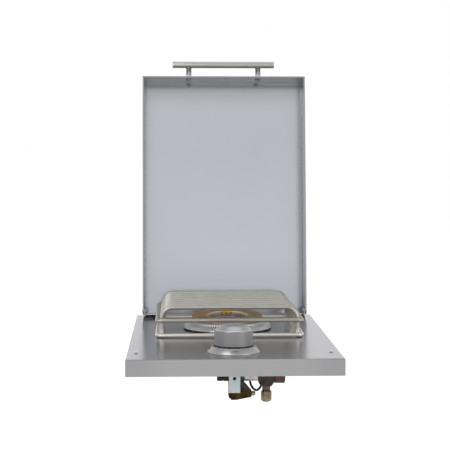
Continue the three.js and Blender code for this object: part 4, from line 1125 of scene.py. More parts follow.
@dataclass
class Lid(SubAssembly):
    """The folded lid, its hinge and its bar handle, open as in the photograph."""

    pivot: Point3 = (0.0, 440 * MM, 39.4 * MM)  # the hinge axis
    open_angle: float = math.radians(96.6)
    front: float = -428 * MM  # the front skirt's outer face, from the pivot, with the lid shut
    level: float = 18.5 * MM  # height of the handle over the pivot, with the lid shut
    sheet: float = 1.2 * MM
    reach: float = 26.3 * MM  # from the front skirt to the middle of the bar
    bar_radius: float = 6 * MM
    bar_edge: float = 0.9 * MM
    post_radius: float = 5 * MM
    post_edge: float = 0.5 * MM
    post_spread: float = 128 * MM
    screw_head: Point2 = (4.8 * MM, 3 * MM)  # radius and height of the handle screws' heads
    screw_shank: Point2 = (2.3 * MM, 14 * MM)
    pin_radius: float = 2.5 * MM
    pin_head: Point2 = (3.8 * MM, 0.9 * MM)
    pin_tail: Point2 = (4 * MM, 1.5 * MM)  # radius and height of the riveted tails
    pin_chamfer: float = 0.5 * MM
    washer_edge: float = 0.2 * MM
    hinge_head: Point2 = (3.6 * MM, 2.4 * MM)
    hinge_shank: Point2 = (2 * MM, 3.6 * MM)
    gap: float = 0.3 * MM
    sides: int = 48

    def build(self) -> None:
        """Makes the handle and the hinge's turned pieces."""
        self.bar()
        for side, sign in SIDES.items():
            self.post(side, sign)
            self.handle_screw(side, sign)
            self.pin(side, sign)
            self.washer(side)
            upright_screw(f"hinge_screw_{side}", self.hinge_head, *self.hinge_shank, BLACKENED_STEEL)

    def dress(self) -> None:
        """Dresses the lid and the brackets."""
        paint(SHEET_STEEL, "lid")
        paint(HINGE_STEEL, "hinge_bracket_left", "hinge_bracket_right")

    def opened(self) -> Matrix:
        """Returns the turn that opens what is given with the lid shut, from the pivot."""
        return Matrix.Translation(self.pivot) @ Matrix.Rotation(-self.open_angle, 4, "X")

    def bar(self) -> None:
        """Makes the turned bar."""
        low, high = corners("handle_bar")
        half = (high.x - low.x) / 2
        profile = rod(self.bar_radius, -half, half, self.bar_edge)
        bar = turned_piece("handle_bar_turned", profile, HANDLE_STEEL, self.sides, Axis.X, middle("handle_bar"))
        settle(bar, "lid", "satin_steel", "handle_bar")

    def post(self, side: str, sign: int) -> None:
        """Makes a handle post, coped to the bar.

        Args:
            side: left or right.
            sign: -1 or 1.
        """
        profile = rod(self.post_radius, 0.0, self.reach - self.gap, self.post_edge)
        foot = (sign * self.post_spread / 2, self.front - self.reach, self.level)
        post = turned_piece(f"handle_post_{side}_turned", profile, HANDLE_STEEL, self.sides, Axis.Y, foot)
        wide = self.post_radius * 2
        carve(post, cylinder(self.bar_radius + self.gap, -wide, wide, self.sides, Axis.X, foot))
        post.data.transform(self.opened())
        settle(post, "lid", "satin_steel", f"handle_post_{side}")

    def handle_screw(self, side: str, sign: int) -> None:
        """Makes the screw that holds a post from inside the lid.

        Args:
            side: left or right.
            sign: -1 or 1.
        """
        seat = (sign * self.post_spread / 2, self.front + self.sheet + self.gap, self.level)
        place = self.opened() @ Matrix.Translation(seat) @ Axis.Y.matrix()
        screw = cross_screw(f"handle_screw_{side}_cross", place, self.screw_head, self.screw_shank)
        settle(screw, "lid", "screw_steel", f"handle_screw_{side}")

    def pin(self, side: str, sign: int) -> None:
        """Makes a hinge pin with a domed head outside and a riveted tail inside.

        Args:
            side: left or right.
            sign: -1 or 1.
        """
        node = f"hinge_pin_{side}"
        low, high = corners(node)
        inner, outer = (low.x, high.x) if sign > 0 else (-high.x, -low.x)
        (head_radius, head), (tail_radius, tail), chamfer = self.pin_head, self.pin_tail, self.pin_chamfer
        dome = head * 0.6
        profile = [
            (0.0, inner), (tail_radius - chamfer, inner), (tail_radius, inner + chamfer),
            (tail_radius, inner + tail), (self.pin_radius, inner + tail), (self.pin_radius, outer - head),
            (head_radius, outer - head), *arc((0.0, outer - dome), (head_radius, dome), 0.0, QUARTER, 8)[:-1],
            (0.0, outer),
        ]
        pin = turned_piece(f"{node}_turned", profile, HINGE_STEEL, self.sides, Axis.X)
        facing = Matrix.Rotation(0.0 if sign > 0 else math.pi, 4, "Z")
        pin.data.transform(Matrix.Translation(self.pivot) @ facing)
        settle(pin, "burner", "screw_steel", node)

    def washer(self, side: str) -> None:
        """Makes the nylon washer on the left or right pin."""
        node = f"hinge_washer_{side}"
        low, high = corners(node)
        profile = rod((high.z - low.z) / 2, low.x, high.x, self.washer_edge, self.pin_radius + self.gap)
        washer = turned_piece(f"{node}_ring", profile, CLEAR_RUBBER, self.sides, Axis.X, self.pivot)
        settle(washer, "burner", "clear_rubber", node)


@dataclass
class Grate(SubAssembly):
    """The wire grate: two rings, arched bars and the welds between them."""

    wire: float = 7 * MM  # the wire's diameter
    sides: int = 24
    ring_bend: float = 7.3 * MM  # the corner radius at the middle of the wire
    ring_spans: int = 8
    arch_bend: float = 18 * MM
    arch_spans: int = 12
    count: int = 8  # arched bars
    bead: float = 1.5 * MM  # the weld beads' radius
    bead_shape: Point3 = (0.7, 1.6, 1.0)
    bead_lift: float = 0.15 * MM  # how far their middles stand out of the bars
    bead_rise: float = 0.3  # how high they sit on the rings, as a share of the wire

    def build(self) -> None:
        """Makes the rings, the arches and the welds."""
        for node in ("grate_lower_ring", "grate_upper_ring"):
            self.ring(node)
        self.arches()
        self.welds()

    def ring(self, node: str) -> None:
        """Makes the ring of a node."""
        low, high = corners(node)
        row = Row(f"{node}_wire", WIRE_STEEL)
        width = row.size("Width", high.x - low.x - self.wire)
        depth = row.size("Depth", high.y - low.y - self.wire)
        bend = row.size("Bend", self.ring_bend)
        radius = row.size("Wire radius", self.wire / 2)
        sides = row.size("Sides", self.sides)
        line = row.add("CurvePrimitiveQuadrilateral", Width=width, Height=depth)
        bar = row.bar(row.fillet(line, bend, self.ring_spans), radius, sides)
        placed = row.add("Transform", Geometry=bar, Translation=tuple((low + high) / 2))
        settle(row.object(placed), "burner", "wire_steel", node)

    def arches(self) -> None:
        """Makes the arched bars from one bent path that is repeated along y."""
        nodes = [f"grate_bar_{i + 1}" for i in range(self.count)]
        low, high = corners(nodes[0])
        first, last = middle(nodes[0]), middle(nodes[-1])
        half = (high.x - low.x) / 2 - self.wire / 2
        top = high.z - self.wire / 2
        path = bpy.data.curves.new("arch_path", "CURVE")
        path.dimensions = "3D"
        line = path.splines.new("POLY")
        line.points.add(3)
        for point, (x, z) in zip(line.points, [(-half, low.z), (-half, top), (half, top), (half, low.z)]):
            point.co = (x, 0.0, z, 1.0)
        host = bpy.data.objects.new("arch_path", path)
        row = Row("grate_arches", WIRE_STEEL)
        row.tree.interface.new_socket("Geometry", in_out="INPUT", socket_type="NodeSocketGeometry")
        bend = row.size("Bend", self.arch_bend)
        count = row.size("Bars", self.count)
        pitch = row.size("Pitch", (last.y - first.y) / (self.count - 1))
        radius = row.size("Wire radius", self.wire / 2)
        sides = row.size("Sides", self.sides)
        given = next(s for s in row.entry.outputs if s.name == "Geometry")
        bar = row.bar(row.fillet(given, bend, self.arch_spans), radius, sides)
        points = row.add("MeshLine", Count=count, Start_Location=(0.0, first.y, 0.0), Offset=row.vector(y=pitch))
        settle(row.object(row.copies(points, bar), host), "burner", "wire_steel", *nodes)

    def welds(self) -> None:
        """Adds a small bead on each side of each bar where it meets a ring."""
        first, last = middle("grate_bar_1").y, middle(f"grate_bar_{self.count}").y
        seam = corners("grate_bar_1")[1].x + self.bead_lift
        row = Row("grate_welds", WIRE_STEEL)
        bead = row.size("Bead", self.bead)
        ball = row.add("MeshIcoSphere", Radius=bead, Subdivisions=3)
        flat = row.add("Transform", Geometry=ball, Scale=self.bead_shape)
        parts = []
        for side in (-seam, seam):
            for ring in ("grate_lower_ring", "grate_upper_ring"):
                start = (side, first, middle(ring).z + self.wire * self.bead_rise)
                line = row.add("MeshLine", Count=self.count, Start_Location=start,
                               Offset=(0.0, (last - first) / (self.count - 1), 0.0))
                parts.append(row.copies(line, flat))
        settle(row.object(row.join(*parts)), "burner", "wire_steel")


@dataclass
class DripPan(SubAssembly):
    """The drip pan with its crimped collar. Heights are over the deck."""

    rim: float = 76 * MM  # radius of the collar's rolled rim
    rim_low: float = 1.6 * MM
    rim_high: float = 5 * MM
    roll: Point2 = (1.1 * MM, 1.6 * MM)  # the rolled rim's radii, outwards and upwards
    crest: float = 65 * MM  # radius of the collar's crest
    crest_height: float = 15 * MM
    floor: float = 0.3 * MM  # height of the floor's underside
    floor_radius: float = 61 * MM
    gauge: float = 0.8 * MM
    crimp_depth: float = 1 * MM
    crimp_band: Point2 = (0.05, 0.98)  # where the crimps start and end, from the crest (0) to the rim (1)
    boss_hole: float = 10.6 * MM  # for the burner's inlet
    leg_hole: float = 5.6 * MM  # for the burner's legs
    ceramic_hole: float = 3.3 * MM  # for the electrode
    reach: float = 47.25 * MM  # from the middle to the inlet and the legs

    def wave(self, radius: float, height: float, angle: float) -> float:
        """Returns the crimp's lift at a place on the collar.

        Args:
            radius: Distance from the axis.
            height: Height on the axis.
            angle: Angle round the axis.
        """
        outside = (radius - self.crest) / (self.rim - self.gauge - self.crest)
        start, end = self.crimp_band
        if not start < outside < end:
            return 0.0
        return self.crimp_depth * math.sin(math.pi * outside) ** 0.5 * math.cos(CRIMPS * angle)

    def build(self) -> None:
        """Makes the pan with the holes for the burner and the electrode."""
        axis = middle("burner_cap")
        floor, sheet, crest, top = self.floor, self.gauge, self.crest, self.crest_height
        upper = [
            (0.0, floor + sheet),
            (self.floor_radius - sheet - 1.5 * MM, floor + sheet),
            (self.floor_radius - sheet, floor + sheet + 1 * MM),
            (crest - 2.2 * MM, top - 1.6 * MM),
            (crest - 1 * MM, top - 0.2 * MM),
            (crest + 0.4 * MM, top),
            (self.rim - 8 * MM, self.rim_high + 8.2 * MM),
            (self.rim - 4 * MM, self.rim_high + 4.2 * MM),
            (self.rim - sheet, self.rim_high + 0.2 * MM),
            *arc((self.rim - self.roll[0], (self.rim_low + self.rim_high) / 2), self.roll, QUARTER, -QUARTER, 8),
        ]
        lower = [
            (self.rim - 1.6 * MM, self.rim_low + 0.3 * MM),
            (self.rim - 1.6 * MM, self.rim_high - 0.6 * MM),
            (self.rim - 4.6 * MM, self.rim_high + 3.4 * MM),
            (self.rim - 8.6 * MM, self.rim_high + 7.4 * MM),
            (crest + 0.4 * MM, top - sheet),
            (crest - 0.6 * MM, top - sheet - 0.3 * MM),
            (self.floor_radius, floor + 1 * MM),
            (self.floor_radius - 1 * MM, floor),
            (0.0, floor),
        ]
        mesh = revolve(upper + lower, CRIMPS * 4, Axis.Z, (axis.x, axis.y, DECK), self.wave)
        pan = finish_mesh("drip_pan_sheet", mesh, PAN_STEEL, 60.0)
        electrode = middle("electrode_ceramic")
        holes = [
            (axis.x, axis.y + self.reach, self.boss_hole),
            (axis.x - self.reach, axis.y, self.leg_hole),
            (axis.x + self.reach, axis.y, self.leg_hole),
            (electrode.x, electrode.y, self.ceramic_hole),
        ]
        for x, y, radius in holes:
            carve(pan, cylinder(radius, -5 * MM, 5 * MM, 32, Axis.Z, (x, y, DECK)))
        settle(pan, "burner", "pan_steel", "drip_pan")


@dataclass
class RingBurner(SubAssembly):
    """The cast ring burner with ports round its inner wall. Heights are over the deck."""

    outer: float = 60.5 * MM
    inner: float = 34 * MM
    bottom: float = 8 * MM  # height of its underside
    split: float = 14 * MM  # height of the joint between base and cap
    joint: float = 0.3 * MM  # the gap between them
    top: float = 24.2 * MM  # height of the crown
    crown: float = 0.6 * MM  # rise of the crown
    shoulder: float = 2.4 * MM  # rounding of the cap's edges
    wall: float = 2.3 * MM
    ports: int = 28
    port_radius: float = 1.1 * MM
    port_height: float = 20 * MM
    port_bead: float = 0.5 * MM  # the port rims' thickness, from their middle
    boss: Point3 = (10 * MM, 7.7 * MM, -5.7 * MM)  # radius, bore and lowest height of the inlet boss
    leg: Point2 = (5 * MM, -0.9 * MM)  # radius and lowest height of the legs
    screw_hole: Point2 = (2.3 * MM, 7.5 * MM)  # radius and depth of the legs' screw holes
    screw_head: Point2 = (3.6 * MM, 2.4 * MM)
    screw_shank: float = 2 * MM
    tilt: float = math.radians(2.7)  # how far the ring dips towards the front, as in the photograph
    tilt_level: float = 12 * MM  # height of the axis that it dips about
    sides: int = 140

    def build(self) -> None:
        """Makes base, cap, port rims and screws."""
        axis = middle("burner_cap")
        self.centre = (axis.x, axis.y, DECK)
        self.base()
        self.cap()
        self.rims()
        for side in SIDES:
            upright_screw(f"burner_screw_{side}", self.screw_head, self.screw_shank, hangs=True)

    def dip(self, piece: Piece) -> None:
        """Tilts a piece of the ring."""
        level = Matrix.Translation(Vector(self.centre) + Vector((0.0, 0.0, self.tilt_level)))
        piece.data.transform(level @ Matrix.Rotation(self.tilt, 4, "X") @ level.inverted())

    def base(self) -> None:
        """Makes the channel with its inlet boss and legs."""
        wall = self.wall
        floor = self.bottom + wall
        profile = rounded([
            (self.inner, self.split), (self.inner, self.bottom), (self.outer, self.bottom),
            (self.outer, self.split), (self.outer - wall, self.split), (self.outer - wall, floor),
            (self.inner + wall, floor), (self.inner + wall, self.split),
        ], wall / 4)
        base = turned_piece("burner_base_casting", profile, BURNER_BRASS, self.sides, Axis.Z, self.centre)
        self.dip(base)
        reach = (self.outer + self.inner) / 2
        x, y, z = self.centre
        inlet = (x, y + reach, z)
        boss_radius, bore, boss_low = self.boss
        leg_radius, leg_low = self.leg
        hole, depth = self.screw_hole
        carve(base, cylinder(boss_radius, boss_low, floor + OVERCUT, 48, Axis.Z, inlet), "UNION")
        for sign in SIDES.values():
            foot = (x + sign * reach, y, z)
            carve(base, cylinder(leg_radius, leg_low, floor, 32, Axis.Z, foot), "UNION")
            carve(base, cylinder(hole, leg_low - wall, leg_low + depth, 24, Axis.Z, foot))
        carve(base, cylinder(bore, boss_low - wall, floor + wall, 48, Axis.Z, inlet))
        sharpen(base.data)
        settle(base, "burner", "burner_brass", "burner_base")

    def cap(self) -> None:
        """Makes the cap with its crown and cuts the ports."""
        low = self.split + self.joint
        level = self.top - self.crown - self.shoulder
        ceiling = self.top - self.crown - self.wall
        ridge = (self.outer + self.inner) / 2
        round_top = (self.shoulder, self.shoulder)
        profile = [
            (self.outer, low), *arc((self.outer - self.shoulder, level), round_top, 0.0, QUARTER, 8),
            (ridge + 5 * MM, self.top - self.crown * 0.2), (ridge, self.top),
            (ridge - 5 * MM, self.top - self.crown * 0.2),
            *arc((self.inner + self.shoulder, level), round_top, QUARTER, math.pi, 8), (self.inner, low),
            (self.inner + self.wall, low), (self.inner + self.wall, ceiling),
            (self.outer - self.wall, ceiling), (self.outer - self.wall, low),
        ]
        cap = turned_piece("burner_cap_casting", profile, BURNER_BRASS, self.sides, Axis.Z, self.centre)
        carve(cap, mesh_of(self.drills))
        sharpen(cap.data)
        self.dip(cap)
        settle(cap, "burner", "burner_brass", "burner_cap")

    def drills(self, shape: Shape) -> None:
        """Adds a drill for each port to a shape."""
        start, end = self.inner - 3 * MM, self.inner + 7 * MM
        for i in range(self.ports):
            drill = cylinder(self.port_radius, start, end, 12, Axis.X, (0.0, 0.0, self.port_height))
            turn = Matrix.Rotation(FULL_TURN / self.ports * (i + 0.5), 4, "Z")
            drill.transform(Matrix.Translation(self.centre) @ turn)
            shape.from_mesh(drill)
            bpy.data.meshes.remove(drill)

    def rims(self) -> None:
        """Adds a rim round each port, coloured as a painted highlight."""
        row = Row("burner_port_rims", PORT_HIGHLIGHT)
        around = row.size("Wall radius", self.inner - 0.1 * MM)
        count = row.size("Ports", self.ports)
        rim = row.size("Rim radius", self.port_radius + 0.4 * MM)
        bead = row.size("Bead", self.port_bead)
        loop = row.bar(row.add("CurvePrimitiveCircle", Resolution=12, Radius=rim), bead, 6)
        seats = row.add("MeshCircle", Vertices=count, Radius=around)
        x, y, z = self.centre
        placed = row.add("Transform", Geometry=row.copies(seats, loop, Rotation=row.outward()),
                         Translation=(x, y, z + self.port_height), Rotation=(0.0, 0.0, math.pi / self.ports))
        rims = row.object(placed)
        self.dip(rims)
        settle(rims, "burner", "burner_brass")


@dataclass
class Control(SubAssembly):
    """The knob, its bezel and the bezel's plain marks. Heights are over the deck."""

    place: Point3 = (0.0, 62 * MM, DECK)  # the control's axis at the deck
    radius: float = 29.15 * MM
    bottom: float = 10.6 * MM  # height of the knob's lower edge
    rim: float = 34.6 * MM  # height of its upper edge
    dome: float = 42.4 * MM  # height of its middle
    dome_power: float = 3.6  # how full the dome is
    fillet: float = 2.8 * MM  # rounding of its upper edge
    wall: float = 2.2 * MM
    hub: Point2 = (8 * MM, 12.8 * MM)  # radius and lowest height of its hub
    bore: Point2 = (4.3 * MM, 29.3 * MM)  # radius and upper height of the stem's bore
    groove: Point2 = (1.8 * MM, 0.9 * MM)  # width and depth of the pointer groove
    groove_start: float = 4 * MM  # where it starts, from the axis
    groove_spans: int = 12
    paint_gap: float = 0.05 * MM  # between the groove and its paint
    bezel_radius: float = 39.8 * MM
    bezel_edge: float = 1.5 * MM  # height of the bezel's lower edge
    bezel_top: float = 33.2 * MM  # radius of its upper edge
    bezel_height: float = 9.2 * MM
    bezel_floor: float = 5 * MM  # height of its recessed floor
    bezel_wall: float = 1.6 * MM
    bezel_hole: float = 15 * MM  # radius of the hole for the stem
    knob_room: float = 1 * MM  # from the knob to the recess
    screw_hole: float = 2.3 * MM
    screw_head: Point2 = (3.6 * MM, 1.2 * MM)
    screw_shank: float = 2 * MM
    mark_size: float = 5.04 * MM  # size of the letters, which stand 3.6 mm high
    mark_lift: float = 0.06 * MM  # how far they stand out
    gap: float = 0.3 * MM
    sides: int = 112

    def build(self) -> None:
        """Makes the knob, its pointer, the bezel, its marks and its screws."""
        self.knob()
        pointer = self.slot(self.groove[0] / 2 - self.paint_gap, self.groove[1] - self.paint_gap, -1 / 3)
        settle(finish_mesh("knob_pointer", pointer, MARK_PAINT), "knob", "black_plastic")
        self.bezel()
        for word, turn, facing in (("OFF", QUARTER, -1), ("HIGH", math.pi, 1), ("LOW", -QUARTER, 1)):
            self.mark(word, turn, facing)
        for side in SIDES:
            upright_screw(f"bezel_screw_{side}", self.screw_head, self.screw_shank)

    def dress(self) -> None:
        """Dresses the stem that the knob turns."""
        paint(SCREW_STEEL, "valve_stem")

    def crown(self, radius: float) -> float:
        """Returns the height of the knob's dome at a radius."""
        fullness = 1 - (radius / (self.radius - self.fillet)) ** self.dome_power
        return self.rim + (self.dome - self.rim) * fullness

    def knob(self) -> None:
        """Makes the hollow knob with its pointer groove."""
        base = self.radius - self.fillet
        roof = self.rim - self.fillet
        hub_radius, hub_low = self.hub
        lip = self.wall / 4
        dome = [(base * (1 - i / 16), self.crown(base * (1 - i / 16))) for i in range(1, 17)]
        profile = [
            (0.0, hub_low), (hub_radius, hub_low), (hub_radius, roof),
            (self.radius - self.wall, roof - self.wall), (self.radius - self.wall, self.bottom),
            (self.radius - lip, self.bottom), (self.radius, self.bottom + lip),
            *arc((base, roof), (self.fillet, self.fillet), 0.0, QUARTER, 8), *dome,
        ]
        knob = turned_piece("knob_moulding", profile, KNOB_SATIN, self.sides, Axis.Z, self.place)
        bore, bore_top = self.bore
        carve(knob, cylinder(bore, hub_low - self.wall, bore_top, 32, Axis.Z, self.place))
        width, depth = self.groove
        carve(knob, self.slot(width / 2, depth, self.wall / depth))
        sharpen(knob.data, 30.0)
        settle(knob, "knob", "satin_metal", "knob")

    def slot(self, half: float, depth: float, above: float) -> Mesh:
        """Returns a bar that follows the dome from near its middle to its edge.

        Args:
            half: Half the bar's width.
            depth: How far its underside lies below the dome.
            above: How far its upper side lies above the dome, as a share of the depth.
        """
        span = self.radius - self.fillet - self.groove_start
        count = self.groove_spans
        radii = [self.groove_start + span * i / count for i in range(count + 1)]

        def fill(shape: Shape) -> None:
            """Adds the bar's sections and the faces between them."""
            rings = []
            for radius in radii:
                low, high = self.crown(radius) - depth, self.crown(radius) + above * depth
                outline = [(-half, low), (half, low), (half, high), (-half, high)]
                rings.append([shape.verts.new(Vector((x, radius, z)) + Vector(self.place)) for x, z in outline])
            loft(shape, rings)

        return mesh_of(fill)

    def bezel(self) -> None:
        """Makes the bezel, a low cone with a recess for the knob."""
        lip = self.bezel_wall / 4
        recess = self.radius + self.knob_room
        under = self.bezel_floor - self.bezel_wall
        radius, top, height = self.bezel_radius, self.bezel_top, self.bezel_height
        profile = [
            (radius, self.gap), (radius, self.bezel_edge - lip), (radius - lip / 2, self.bezel_edge + lip / 2),
            (top + lip, height - lip), (top, height), (recess + lip, height), (recess, height - lip),
            (recess, self.bezel_floor), (self.bezel_hole, self.bezel_floor), (self.bezel_hole, under),
            (top, under), (radius - self.bezel_wall, self.gap),
        ]
        bezel = turned_piece("bezel_moulding", profile, BEZEL_SATIN, self.sides, Axis.Z, self.place)
        for side in SIDES:
            seat = middle(f"bezel_screw_{side}")
            at = (seat.x, seat.y, DECK)
            boss = cylinder(self.screw_head[0], self.gap, under + self.bezel_wall / 2, 32, Axis.Z, at)
            carve(bezel, boss, "UNION")
            carve(bezel, cylinder(self.screw_hole, -self.wall, height, 24, Axis.Z, at))
        sharpen(bezel.data, 30.0)
        settle(bezel, "burner", "satin_metal", "bezel")

    def mark(self, word: str, turn: float, facing: int) -> None:
        """Wraps a word round the bezel's cone.

        Args:
            word: The word.
            turn: Its angle round the axis.
            facing: 1 with its top towards the knob, -1 with its top away from it.
        """
        text = bpy.data.curves.new(word, "FONT")
        text.body = word
        text.size = self.mark_size
        text.align_x = "CENTER"
        text.align_y = "CENTER"
        carrier = bpy.data.objects.new(word, text)
        bpy.context.scene.collection.objects.link(carrier)
        flat = evaluated(carrier)
        bpy.data.objects.remove(carrier)
        foot, head = Vector((self.bezel_radius, self.bezel_edge)), Vector((self.bezel_top, self.bezel_height))
        along = (head - foot).normalized()
        centre = (foot + head) / 2 + Vector((along.y, -along.x)) * self.mark_lift
        for vertex in flat.vertices:
            radius, height = centre + along * vertex.co.y * facing
            angle = turn + vertex.co.x * facing / centre.x
            vertex.co = Vector((radius * math.cos(angle), radius * math.sin(angle), height)) + Vector(self.place)
        mark = finish_mesh(f"mark_{word.lower()}", flat, MARK_PAINT)
        body = mark.modifiers.new("body", "SOLIDIFY")
        body.thickness = self.mark_lift / 2
        body.offset = 0.0
        bake(mark)
        shape = bmesh.new()
        shape.from_mesh(mark.data)
        bmesh.ops.recalc_face_normals(shape, faces=shape.faces)
        shape.to_mesh(mark.data)
        shape.free()
        settle(mark, "burner", "black_plastic")


@dataclass
class GasLine(SubAssembly):
    """Valve, manifold, fittings and mixer tube."""

    place: Point3 = (0.0, 62 * MM, DECK)  # the valve's axis at the deck
    level: float = -36.3 * MM  # height of the manifold's axis over the deck
    voxel: float = 0.6 * MM  # face size of the cast pieces
    pipe: Point2 = (8.55 * MM, 6.25 * MM)  # outer and inner radius
    end_plug: Point2 = (8.55 * MM, 1.3 * MM)  # radius and edge of the plug in the left end
    end_socket: Point2 = (3.6 * MM, 4 * MM)  # radius and depth of its socket
    tee_plug: Point2 = (12 * MM, 1.4 * MM)  # radius and edge of the plug in the tee
    tee_socket: Point2 = (4.4 * MM, 5 * MM)
    tee_x: float = 49.6 * MM  # the tee's upright axis
    tee_end: float = 12.1 * MM  # radius of the tee's end bands
    band_width: float = 4.2 * MM
    band_edge: float = 1 * MM
    fitting: Point3 = (6 * MM, 3.1 * MM, 1 * MM)  # radius, bore and thread pitch of the flare fitting
    crest: float = 0.36 * MM  # radius of the thread's crests
    nut: Point3 = (8.1 * MM, 4.25 * MM, 2.4 * MM)  # radius, bore and lower chamfer of the flare nut
    nipple_radius: float = 3.6 * MM
    plate_edge: float = 0.35 * MM
    plate_hole: Point2 = (2.6 * MM, -38.9 * MM)  # radius and height of the plate's open hole
    plate_screw: Point2 = (2.3 * MM, -22 * MM)  # radius and height of its screw's hole
    plate_front: float = -20 * MM  # where both holes start, from the valve's axis
    plate_screw_head: Point2 = (3.4 * MM, 1.6 * MM)
    plate_screw_shank: Point2 = (1.9 * MM, 4 * MM)
    outlet: float = -26 * MM  # height of the mixer's axis
    mixer: Point2 = (10 * MM, 1.8 * MM)  # radius and wall of the mixer tube
    bell: Point3 = (16.5 * MM, 28.8 * MM, 22 * MM)  # radius, front and length of its bell
    elbow: float = 17 * MM  # radius of its bend
    slots: Point3 = (7 * MM, 13.5 * MM, math.radians(52.0))  # inner and outer radius and span of an air slot
    hub: float = 4.2 * MM  # radius of the hole for the orifice
    jet: Point3 = (5 * MM, 12.8 * MM, 22.8 * MM)  # radius, start and end of the orifice's hexagon
    jet_tip: Point3 = (3.2 * MM, 6 * MM, 0.9 * MM)  # radius, length and bore of its tip
    spring_wire: float = 0.45 * MM
    spring_turns: int = 4
    spring_room: float = 3.2 * MM  # the room over the return spring for the pushed stem
    sides: int = 56

    def build(self) -> None:
        """Makes the castings, the turned fittings and the mixer tube."""
        casting = softened_copy("valve_casting", "valve_body", self.voxel, 6, VALVE_BRASS)
        settle(casting, "burner", "valve_brass", "valve_body")
        tee = softened_copy("tee_casting", "tee_fitting", self.voxel, 5, DARK_BRONZE)
        settle(tee, "burner", "dark_bronze", "tee_fitting")
        self.tee_bands()
        self.plug("end_plug", self.end_plug, -1, self.end_socket, PLUG_BRONZE, "valve_brass")
        self.inlet_pipe()
        self.plug("tee_plug", self.tee_plug, 1, self.tee_socket, RED_BRONZE, "red_bronze")
        self.flare_fitting()
        self.flare_nut()
        self.nipple()
        self.plate()
        self.orifice()
        self.spring()
        self.shutter()
        self.mixer_tube()

    def dress(self) -> None:
        """Dresses the hidden parts of the valve."""
        paint(VALVE_BRASS, "valve_bonnet", "valve_plug")

    def at(self, height: float) -> Point3:
        """Returns the point of the valve's axis at a height over the deck."""
        x, y, z = self.place
        return (x, y, z + height)

    def tee_bands(self) -> None:
        """Adds the raised bands at the tee's two open ends."""
        low, high = corners("tee_fitting")
        for i, start in enumerate((low.x + 0.2 * MM, high.x - self.band_width - 0.2 * MM)):
            profile = rod(self.tee_end, start, start + self.band_width, self.band_edge, self.pipe[0] + 0.6 * MM)
            band = turned_piece(f"tee_band_{i + 1}", profile, DARK_BRONZE, self.sides, Axis.X, self.at(self.level))
            settle(band, "burner", "dark_bronze")

    def plug(self, node: str, form: Point2, outward: int, socket: Point2, finish: Finish, slot: str) -> None:
        """Makes a plug in an end of the manifold, with a square socket.

        Args:
            node: The node that it stands for.
            form: Its radius and the rounding of its edges.
            outward: -1 for the left end, 1 for the right.
            socket: Radius and depth of the socket.
            finish: Its finish.
            slot: The record's material slot.
        """
        low, high = corners(node)
        centre = self.at(self.level)
        radius, edge = form
        width, depth = socket
        plug = turned_piece(f"{node}_turned", rod(radius, low.x, high.x, edge), finish, self.sides, Axis.X, centre)
        face = high.x if outward > 0 else low.x
        start, end = sorted((face + outward * OVERCUT, face - outward * depth))
        carve(plug, cylinder(width, start, end, 4, Axis.X, centre))
        sharpen(plug.data)
        settle(plug, "burner", slot, node)

    def inlet_pipe(self) -> None:
        """Makes the pipe between valve and tee."""
        low, high = corners("inlet_pipe")
        outer, inner = self.pipe
        profile = rod(outer, low.x, high.x, 0.3 * MM, inner)
        pipe = turned_piece("inlet_pipe_drawn", profile, PIPE_STEEL, self.sides, Axis.X, self.at(self.level))
        settle(pipe, "burner", "pipe_steel", "inlet_pipe")

    def flare_fitting(self) -> None:
        """Makes the fitting below the tee, and the crests of its thread."""
        low, high = corners("flare_fitting")
        outer, inner, pitch = self.fitting
        centre = (self.tee_x, self.place[1], 0.0)
        profile = rod(outer, low.z, high.z, 0.4 * MM, inner)
        fitting = turned_piece("flare_fitting_turned", profile, OLIVE_BRASS, self.sides, Axis.Z, centre)
        settle(fitting, "burner", "olive_brass", "flare_fitting")
        row = Row("flare_fitting_threads", OLIVE_BRASS)
        around = row.size("Thread radius", outer - 0.1 * MM)
        count = row.size("Crests", int((high.z - low.z) / pitch))
        step = row.size("Thread pitch", pitch)
        crest = row.size("Crest", self.crest)
        ring = row.bar(row.add("CurvePrimitiveCircle", Resolution=48, Radius=around), crest, 6)
        start = (self.tee_x, self.place[1], low.z + pitch / 2)
        points = row.add("MeshLine", Count=count, Start_Location=start, Offset=row.vector(z=step))
        settle(row.object(row.copies(points, ring)), "burner", "olive_brass")

    def flare_nut(self) -> None:
        """Makes the hexagon nut with turned ends."""
        low, high = corners("flare_nut")
        radius, bore, chamfer = self.nut
        centre = (self.tee_x, self.place[1], 0.0)
        hexagon = [(0.0, low.z), (radius, low.z), (radius, high.z), (0.0, high.z)]
        nut = turned_piece("flare_nut_hexagon", hexagon, OLIVE_BRASS, 6, Axis.Z, centre)
        ends = rounded([
            (0.0, low.z), (radius - chamfer, low.z), (radius, low.z + chamfer),
            (radius, high.z - chamfer / 2), (radius - chamfer / 2, high.z), (0.0, high.z),
        ], 0.8 * MM)
        carve(nut, revolve(ends, self.sides, Axis.Z, centre), "INTERSECT")
        carve(nut, cylinder(bore, low.z - chamfer, high.z + chamfer, 32, Axis.Z, centre))
        sharpen(nut.data, 28.0)
        settle(nut, "burner", "olive_brass", "flare_nut")

    def nipple(self) -> None:
        """Makes the test nipple on the valve's arm."""
        low, high = corners("test_nipple")
        radius, bore = self.nipple_radius, self.nipple_radius / 3
        profile = rounded([
            (bore, low.x), (radius, low.x), (radius, high.x - radius / 2), (radius * 2 / 3, high.x), (bore, high.x),
        ], 0.35 * MM)
        centre = (0.0, (low.y + high.y) / 2, (low.z + high.z) / 2)
        nipple = turned_piece("test_nipple_turned", profile, NIPPLE_STEEL, 40, Axis.X, centre)
        settle(nipple, "burner", "zinc_plate", "test_nipple")

